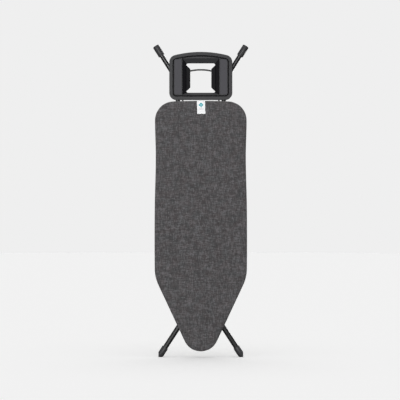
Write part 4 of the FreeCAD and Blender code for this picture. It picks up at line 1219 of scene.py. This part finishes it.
@dataclass
class HemStitches:
    """Lockstitch row that closes the drawcord's hem."""

    cover: Cover
    pitch: float = 0.0046
    thread_r: float = 0.00042
    reach: float = 3.4      # length of a stitch over its thickness
    lift: float = 0.0007    # from the cloth's middle to the thread's
    gap: float = 0.011      # half of the slit that the cord comes out of

    def tree(self, finishes: Finishes) -> bpy.types.NodeTree:
        """Geometry nodes that lay one stitch after another along a line.

        Args:
            finishes: the materials.

        Returns:
            The node tree.
        """
        tree = bpy.data.node_groups.new("stitch_row", "GeometryNodeTree")
        face = tree.interface
        face.new_socket("Geometry", in_out="INPUT", socket_type="NodeSocketGeometry")
        for name in ("Pitch", "Thread Radius", "Reach"):
            face.new_socket(name, in_out="INPUT", socket_type="NodeSocketFloat")
        face.new_socket("Geometry", in_out="OUTPUT", socket_type="NodeSocketGeometry")
        given = add_node(tree, "NodeGroupInput")
        line = add_node(tree, "GeometryNodeMeshToCurve", links={"Mesh": given.outputs["Geometry"]})
        spaced = add_node(tree, "GeometryNodeResampleCurve", {"mode": "LENGTH"},
                          {"Curve": line.outputs["Curve"], "Length": given.outputs["Pitch"]})
        along = add_node(tree, "GeometryNodeInputTangent")
        turn = add_node(tree, "FunctionNodeAlignRotationToVector", {"axis": "Z"}, {"Vector": along.outputs["Tangent"]})
        bead = add_node(tree, "GeometryNodeMeshUVSphere", {"Segments": 6, "Rings": 5},
                        {"Radius": given.outputs["Thread Radius"]})
        size = add_node(tree, "ShaderNodeCombineXYZ", {"X": 1.0, "Y": 1.0}, {"Z": given.outputs["Reach"]})
        laid = add_node(tree, "GeometryNodeInstanceOnPoints", links={
            "Points": spaced.outputs["Curve"], "Instance": bead.outputs["Mesh"], "Rotation": turn.outputs["Rotation"],
            "Scale": size.outputs["Vector"]})
        real = add_node(tree, "GeometryNodeRealizeInstances", links={"Geometry": laid.outputs["Instances"]})
        coat = add_node(tree, "GeometryNodeSetMaterial", {"Material": finishes.thread},
                        {"Geometry": real.outputs["Geometry"]})
        add_node(tree, "NodeGroupOutput", links={"Geometry": coat.outputs["Geometry"]})
        return tree

    def build(self, finishes: Finishes) -> bpy.types.Object:
        """Makes the stitches.

        Args:
            finishes: the materials.

        Returns:
            The stitches, as one piece.
        """
        middle = min(range(len(self.cover.hem_line)), key=lambda i: self.cover.hem_line[i].z)
        turned = self.cover.hem_line[middle:] + self.cover.hem_line[:middle]
        line = [(p.x, p.y + self.lift, p.z) for p in turned if abs(p.x) > self.gap or p.z > 0.5]
        mesh = bpy.data.meshes.new("hem_stitches")
        mesh.from_pydata(line, [(i, i + 1) for i in range(len(line) - 1)], [])
        piece = bpy.data.objects.new("hem_stitches", mesh)
        bpy.context.scene.collection.objects.link(piece)
        grow_nodes(piece, self.tree(finishes),
                   {"Pitch": self.pitch, "Thread Radius": self.thread_r, "Reach": self.reach})
        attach(piece, "board")
        return piece


@dataclass
class Drawcord:
    """Braided cord inside the hem; both ends come out at the nose, go through the toggle and end in knots."""

    outline: BoardOutline
    face_y: float
    inset: float = 0.026
    depth: float = 0.0236
    radius: float = 0.0014
    tail_w: float = 0.0555
    tail_x: float = 0.0017
    knot_r: float = 0.0026

    def build(self, finishes: Finishes) -> bpy.types.Object:
        """Makes the cord.

        Args:
            finishes: the materials.

        Returns:
            The cord piece.
        """
        bm = bmesh.new()
        points, normals = self.outline.loop()
        ring = [Vector((p.x - n.x * self.inset, self.face_y + self.depth, p.y - n.y * self.inset))
                for p, n in zip(points, normals)]
        start = ring[0].z
        sweep_tube(bm, ring, [self.radius] * len(ring), True)
        for side in (-1.0, 1.0):
            path, radii = [], []
            steps = 24
            for i in range(steps + 1):
                t = i / steps
                free = max(0.0, t - 0.62) / 0.38
                path.append(Vector((side * (self.tail_x + 0.0016 * free), self.face_y + self.depth
                                    + t * (self.tail_w - self.depth), start - 0.005 * free ** 2)))
                knot = math.exp(-((t - 0.9) / 0.045) ** 2)
                radii.append(self.radius + (self.knot_r - self.radius) * knot)
            sweep_tube(bm, path, radii, False)
        bmesh.ops.recalc_face_normals(bm, faces=bm.faces)
        mesh = bpy.data.meshes.new("braided_drawcord")
        bm.to_mesh(mesh)
        bm.free()
        piece = smooth_object("braided_drawcord", mesh)
        mesh.materials.append(finishes.braid)
        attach(piece, "board")
        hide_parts("cover_drawcord")
        return piece


@dataclass
class Label:
    """Folded woven label, sewn over the rear edge and hanging a little free at its lower end."""

    cover: Cover
    face_y: float
    width: float = 0.041
    top_z: float = 1.2705
    low_z: float = 1.2055
    edge_r: float = 0.0085
    lean: float = 0.0022
    lift: float = 0.0022
    thickness: float = 0.0005
    rest_gap: float = 0.0004    # between the cover's cloth and the label's inner side

    def rested(self, x: float, y: float, height: float) -> Vector:
        """Moves a point of the label in front of the settled cover, if it isn't.

        Args:
            x: sideways place.
            y: wanted place from front to back.
            height: height.

        Returns:
            The point.
        """
        found, spot, _, _ = self.cover.piece.ray_cast((x, self.face_y - 1.0, height), (0.0, 1.0, 0.0))
        return Vector((x, min(y, spot.y - self.rest_gap) if found else y, height))

    def spine(self) -> list[tuple[float, float]]:
        """Side view of the label as (depth, height), from the sewn end to the fold.

        Returns:
            The points of the spine.
        """
        clear = 0.0011
        centre = self.top_z - self.edge_r
        points = [(self.edge_r - (self.edge_r + clear) * math.cos(a), centre + (self.edge_r + clear) * math.sin(a))
                  for a in (math.radians(78.0 - 13.0 * i) for i in range(7))]
        steps = 12
        for i in range(1, steps + 1):
            t = i / steps
            points.append((-clear - self.lift * t ** 2.2, centre - t * (centre - self.low_z)))
        return points

    def build(self, finishes: Finishes) -> bpy.types.Object:
        """Makes the label.

        Args:
            finishes: the materials.

        Returns:
            The label piece.
        """
        low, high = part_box("cover_label")
        middle = (low[0] + high[0]) / 2.0
        spine = self.spine()
        columns = 8
        bm = bmesh.new()
        uv = bm.loops.layers.uv.new("cloth")
        rows = []
        flat = {}
        travelled = 0.0
        centre_v = (self.top_z + self.low_z) / 2.0
        for index, (depth, height) in enumerate(spine):
            if index:
                travelled += math.dist(spine[index - 1], spine[index])
            share = index / (len(spine) - 1)
            row = []
            for column in range(columns + 1):
                across = (column / columns - 0.5) * self.width
                curl = 0.0006 * share * (2.0 * column / columns - 1.0) ** 2
                x = middle + across + self.lean * share ** 1.5
                vert = bm.verts.new(self.rested(x, self.face_y + depth - curl, height))
                flat[vert] = (across, self.top_z - travelled - centre_v)
                row.append(vert)
            rows.append(row)
        for upper, lower in zip(rows, rows[1:]):
            for i in range(columns):
                face = bm.faces.new((upper[i], lower[i], lower[i + 1], upper[i + 1]))
                for corner in face.loops:
                    corner[uv].uv = flat[corner.vert]
        bmesh.ops.recalc_face_normals(bm, faces=bm.faces)
        mesh = bpy.data.meshes.new("woven_label")
        bm.to_mesh(mesh)
        bm.free()
        piece = smooth_object("woven_label", mesh)
        if mesh.polygons[0].normal.y > 0:
            mesh.flip_normals()
        wall = piece.modifiers.new("wall", "SOLIDIFY")
        wall.thickness = self.thickness
        wall.offset = 1.0
        finer = piece.modifiers.new("finer", "SUBSURF")
        finer.levels = finer.render_levels = 1
        applied(piece)
        piece.data.materials.append(finishes.tape)
        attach(piece, "board")
        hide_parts("cover_label")
        return piece


# ---- rigid sub-assemblies ------------------------------------------------------------------------
@dataclass
class IronRest:
    """Moulded iron rest with its pads, grip strips, carrier rod and clamps."""

    edge: float = 0.0012
    # panel_w, groove_floor_w, well_x and well_z bound the faces that get the painted shade
    panel_w: float = 0.0087
    groove_floor_w: float = 0.0175
    well_x: float = 0.0932
    well_z: Point2 = (1.2992, 1.4832)

    def line(self, painted_shade: bpy.types.Material, face_y: float) -> None:
        """Paints the groove and the sloping sides of the well near-black with the black silicone, as painted shade.

        Args:
            painted_shade: the black silicone, laid on these faces as painted shade.
            face_y: where the ironing surface is.
        """
        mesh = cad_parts["tray_frame"].data
        mesh.materials.append(painted_shade)
        # faces deep in the groove and on the well's sloping sides get the near-black: painted shade in the recesses
        for face in mesh.polygons:
            middle, normal = face.center, face.normal
            depth = middle.y - face_y
            if not self.panel_w < depth < self.groove_floor_w + 0.003 or normal.y > 0.5:
                continue
            in_well = abs(middle.x) < self.well_x and self.well_z[0] < middle.z < self.well_z[1]
            if in_well and abs(normal.x) > 0.3 and normal.y < -0.3:
                face.material_index = 1
            elif not in_well and depth < self.groove_floor_w:
                face.material_index = 1

    def dress(self, finishes: Finishes, face_y: float) -> None:
        """Gives the iron rest its finishes, and the painted shade in its groove and well.

        Args:
            finishes: the materials.
            face_y: where the ironing surface is.
        """
        dress(finishes.tray_plastic, ["tray_frame", "rod_saddles"])
        # near-black painted shade in the tray's groove and on the well's sloping sides
        self.line(finishes.black_silicone_and_painted_shade, face_y)
        dress(finishes.pad_silicone, ["tray_pad_right", "tray_pad_left"])
        dress(finishes.black_silicone_and_painted_shade, ["tray_strip_right", "tray_strip_left"])
        dress(finishes.black_coat, ["tray_rod"])
        dress(finishes.zinc, ["rod_straps", "strap_screws"])
        soften(["tray_frame"], self.edge)
        soften(["tray_pad_right", "tray_pad_left", "tray_strip_right", "tray_strip_left", "rod_saddles"], 0.0008)


@dataclass
class LegFrames:
    """Both tubular leg frames with their pivots, braces, plugs and feet."""

    def dress(self, finishes: Finishes) -> None:
        """Gives the legs their finishes.

        Args:
            finishes: the materials.
        """
        sides = ("right", "left")
        tubes = [f"{frame_name}_leg_{side}" for frame_name in ("outer", "inner") for side in sides]
        feet = [f"{level}_foot_{side}" for level in ("upper", "lower") for side in sides]
        dress(finishes.black_coat, tubes + ["outer_brace", "inner_brace"])
        dress(finishes.foot_plastic, feet + ["outer_end_plugs", "inner_end_plugs", "pivot_nuts"])
        dress(finishes.sole_rubber, ["upper_soles", "lower_soles"])
        dress(finishes.nylon, ["pivot_washers", "glide_right", "glide_left"])
        dress(finishes.zinc, ["outer_hinge_sleeves", "inner_pivot_sleeves", "pivot_bolts", "inner_crossbar"])
        soften(feet, 0.0012, 40.0)
        soften(["upper_soles", "lower_soles"], 0.001, 40.0)
        soften(["inner_end_plugs", "glide_right", "glide_left"], 0.0008)


@dataclass
class Underframe:
    """Rim, beams, hinge brackets, guide rails and the height lock under the board."""

    def dress(self, finishes: Finishes) -> None:
        """Gives the underframe its finishes.

        Args:
            finishes: the materials.
        """
        dress(finishes.grey_coat, ["rim_channel", "hinge_beam", "rail_beam", "rear_beam"])
        dress(finishes.black_coat, ["hinge_bracket_right", "hinge_bracket_left", "guide_rail_right",
                                    "guide_rail_left", "lock_bracket"])
        dress(finishes.zinc, ["hinge_pins", "frame_rivets", "lock_bar", "lock_pin", "release_rod"])
        dress(finishes.drawn_wire, ["lock_spring", "lever_spring"])
        dress(finishes.nylon, ["hinge_washers"])
        dress(finishes.foot_plastic, ["release_handle", "lever_bracket", "cord_lock_barrel", "cord_lock_button"])
        dress(finishes.grey_plastic, ["safety_slider"])
        soften(["release_handle"], 0.0015)
        soften(["lever_bracket", "safety_slider"], 0.0008)
        soften(["hinge_bracket_right", "hinge_bracket_left", "guide_rail_right", "guide_rail_left", "lock_bracket",
                "lock_bar"], 0.0004)


def main() -> None:
    """Builds the scene in order and reports each piece."""
    logging.basicConfig(level=logging.INFO, format="%(name)s: %(message)s")
    Studio().build()
    LOG.info("studio ready")
    finishes = Finishes()
    outline = BoardOutline()
    face_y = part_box("cover")[0][1]
    cover = Cover(outline, face_y)
    for maker in (cover, HemStitches(cover), Drawcord(outline, face_y), ToggleSpring(face_y),
                  Underlay(outline, face_y), Deck(outline, face_y), Label(cover, face_y)):
        piece = maker.build(finishes)
        LOG.info("%s: %d faces", piece.name, len(piece.data.polygons))
    IronRest().dress(finishes, face_y)
    LegFrames().dress(finishes)
    Underframe().dress(finishes)
    LOG.info("rigid pieces dressed")


if __name__ == "__main__":
    main()
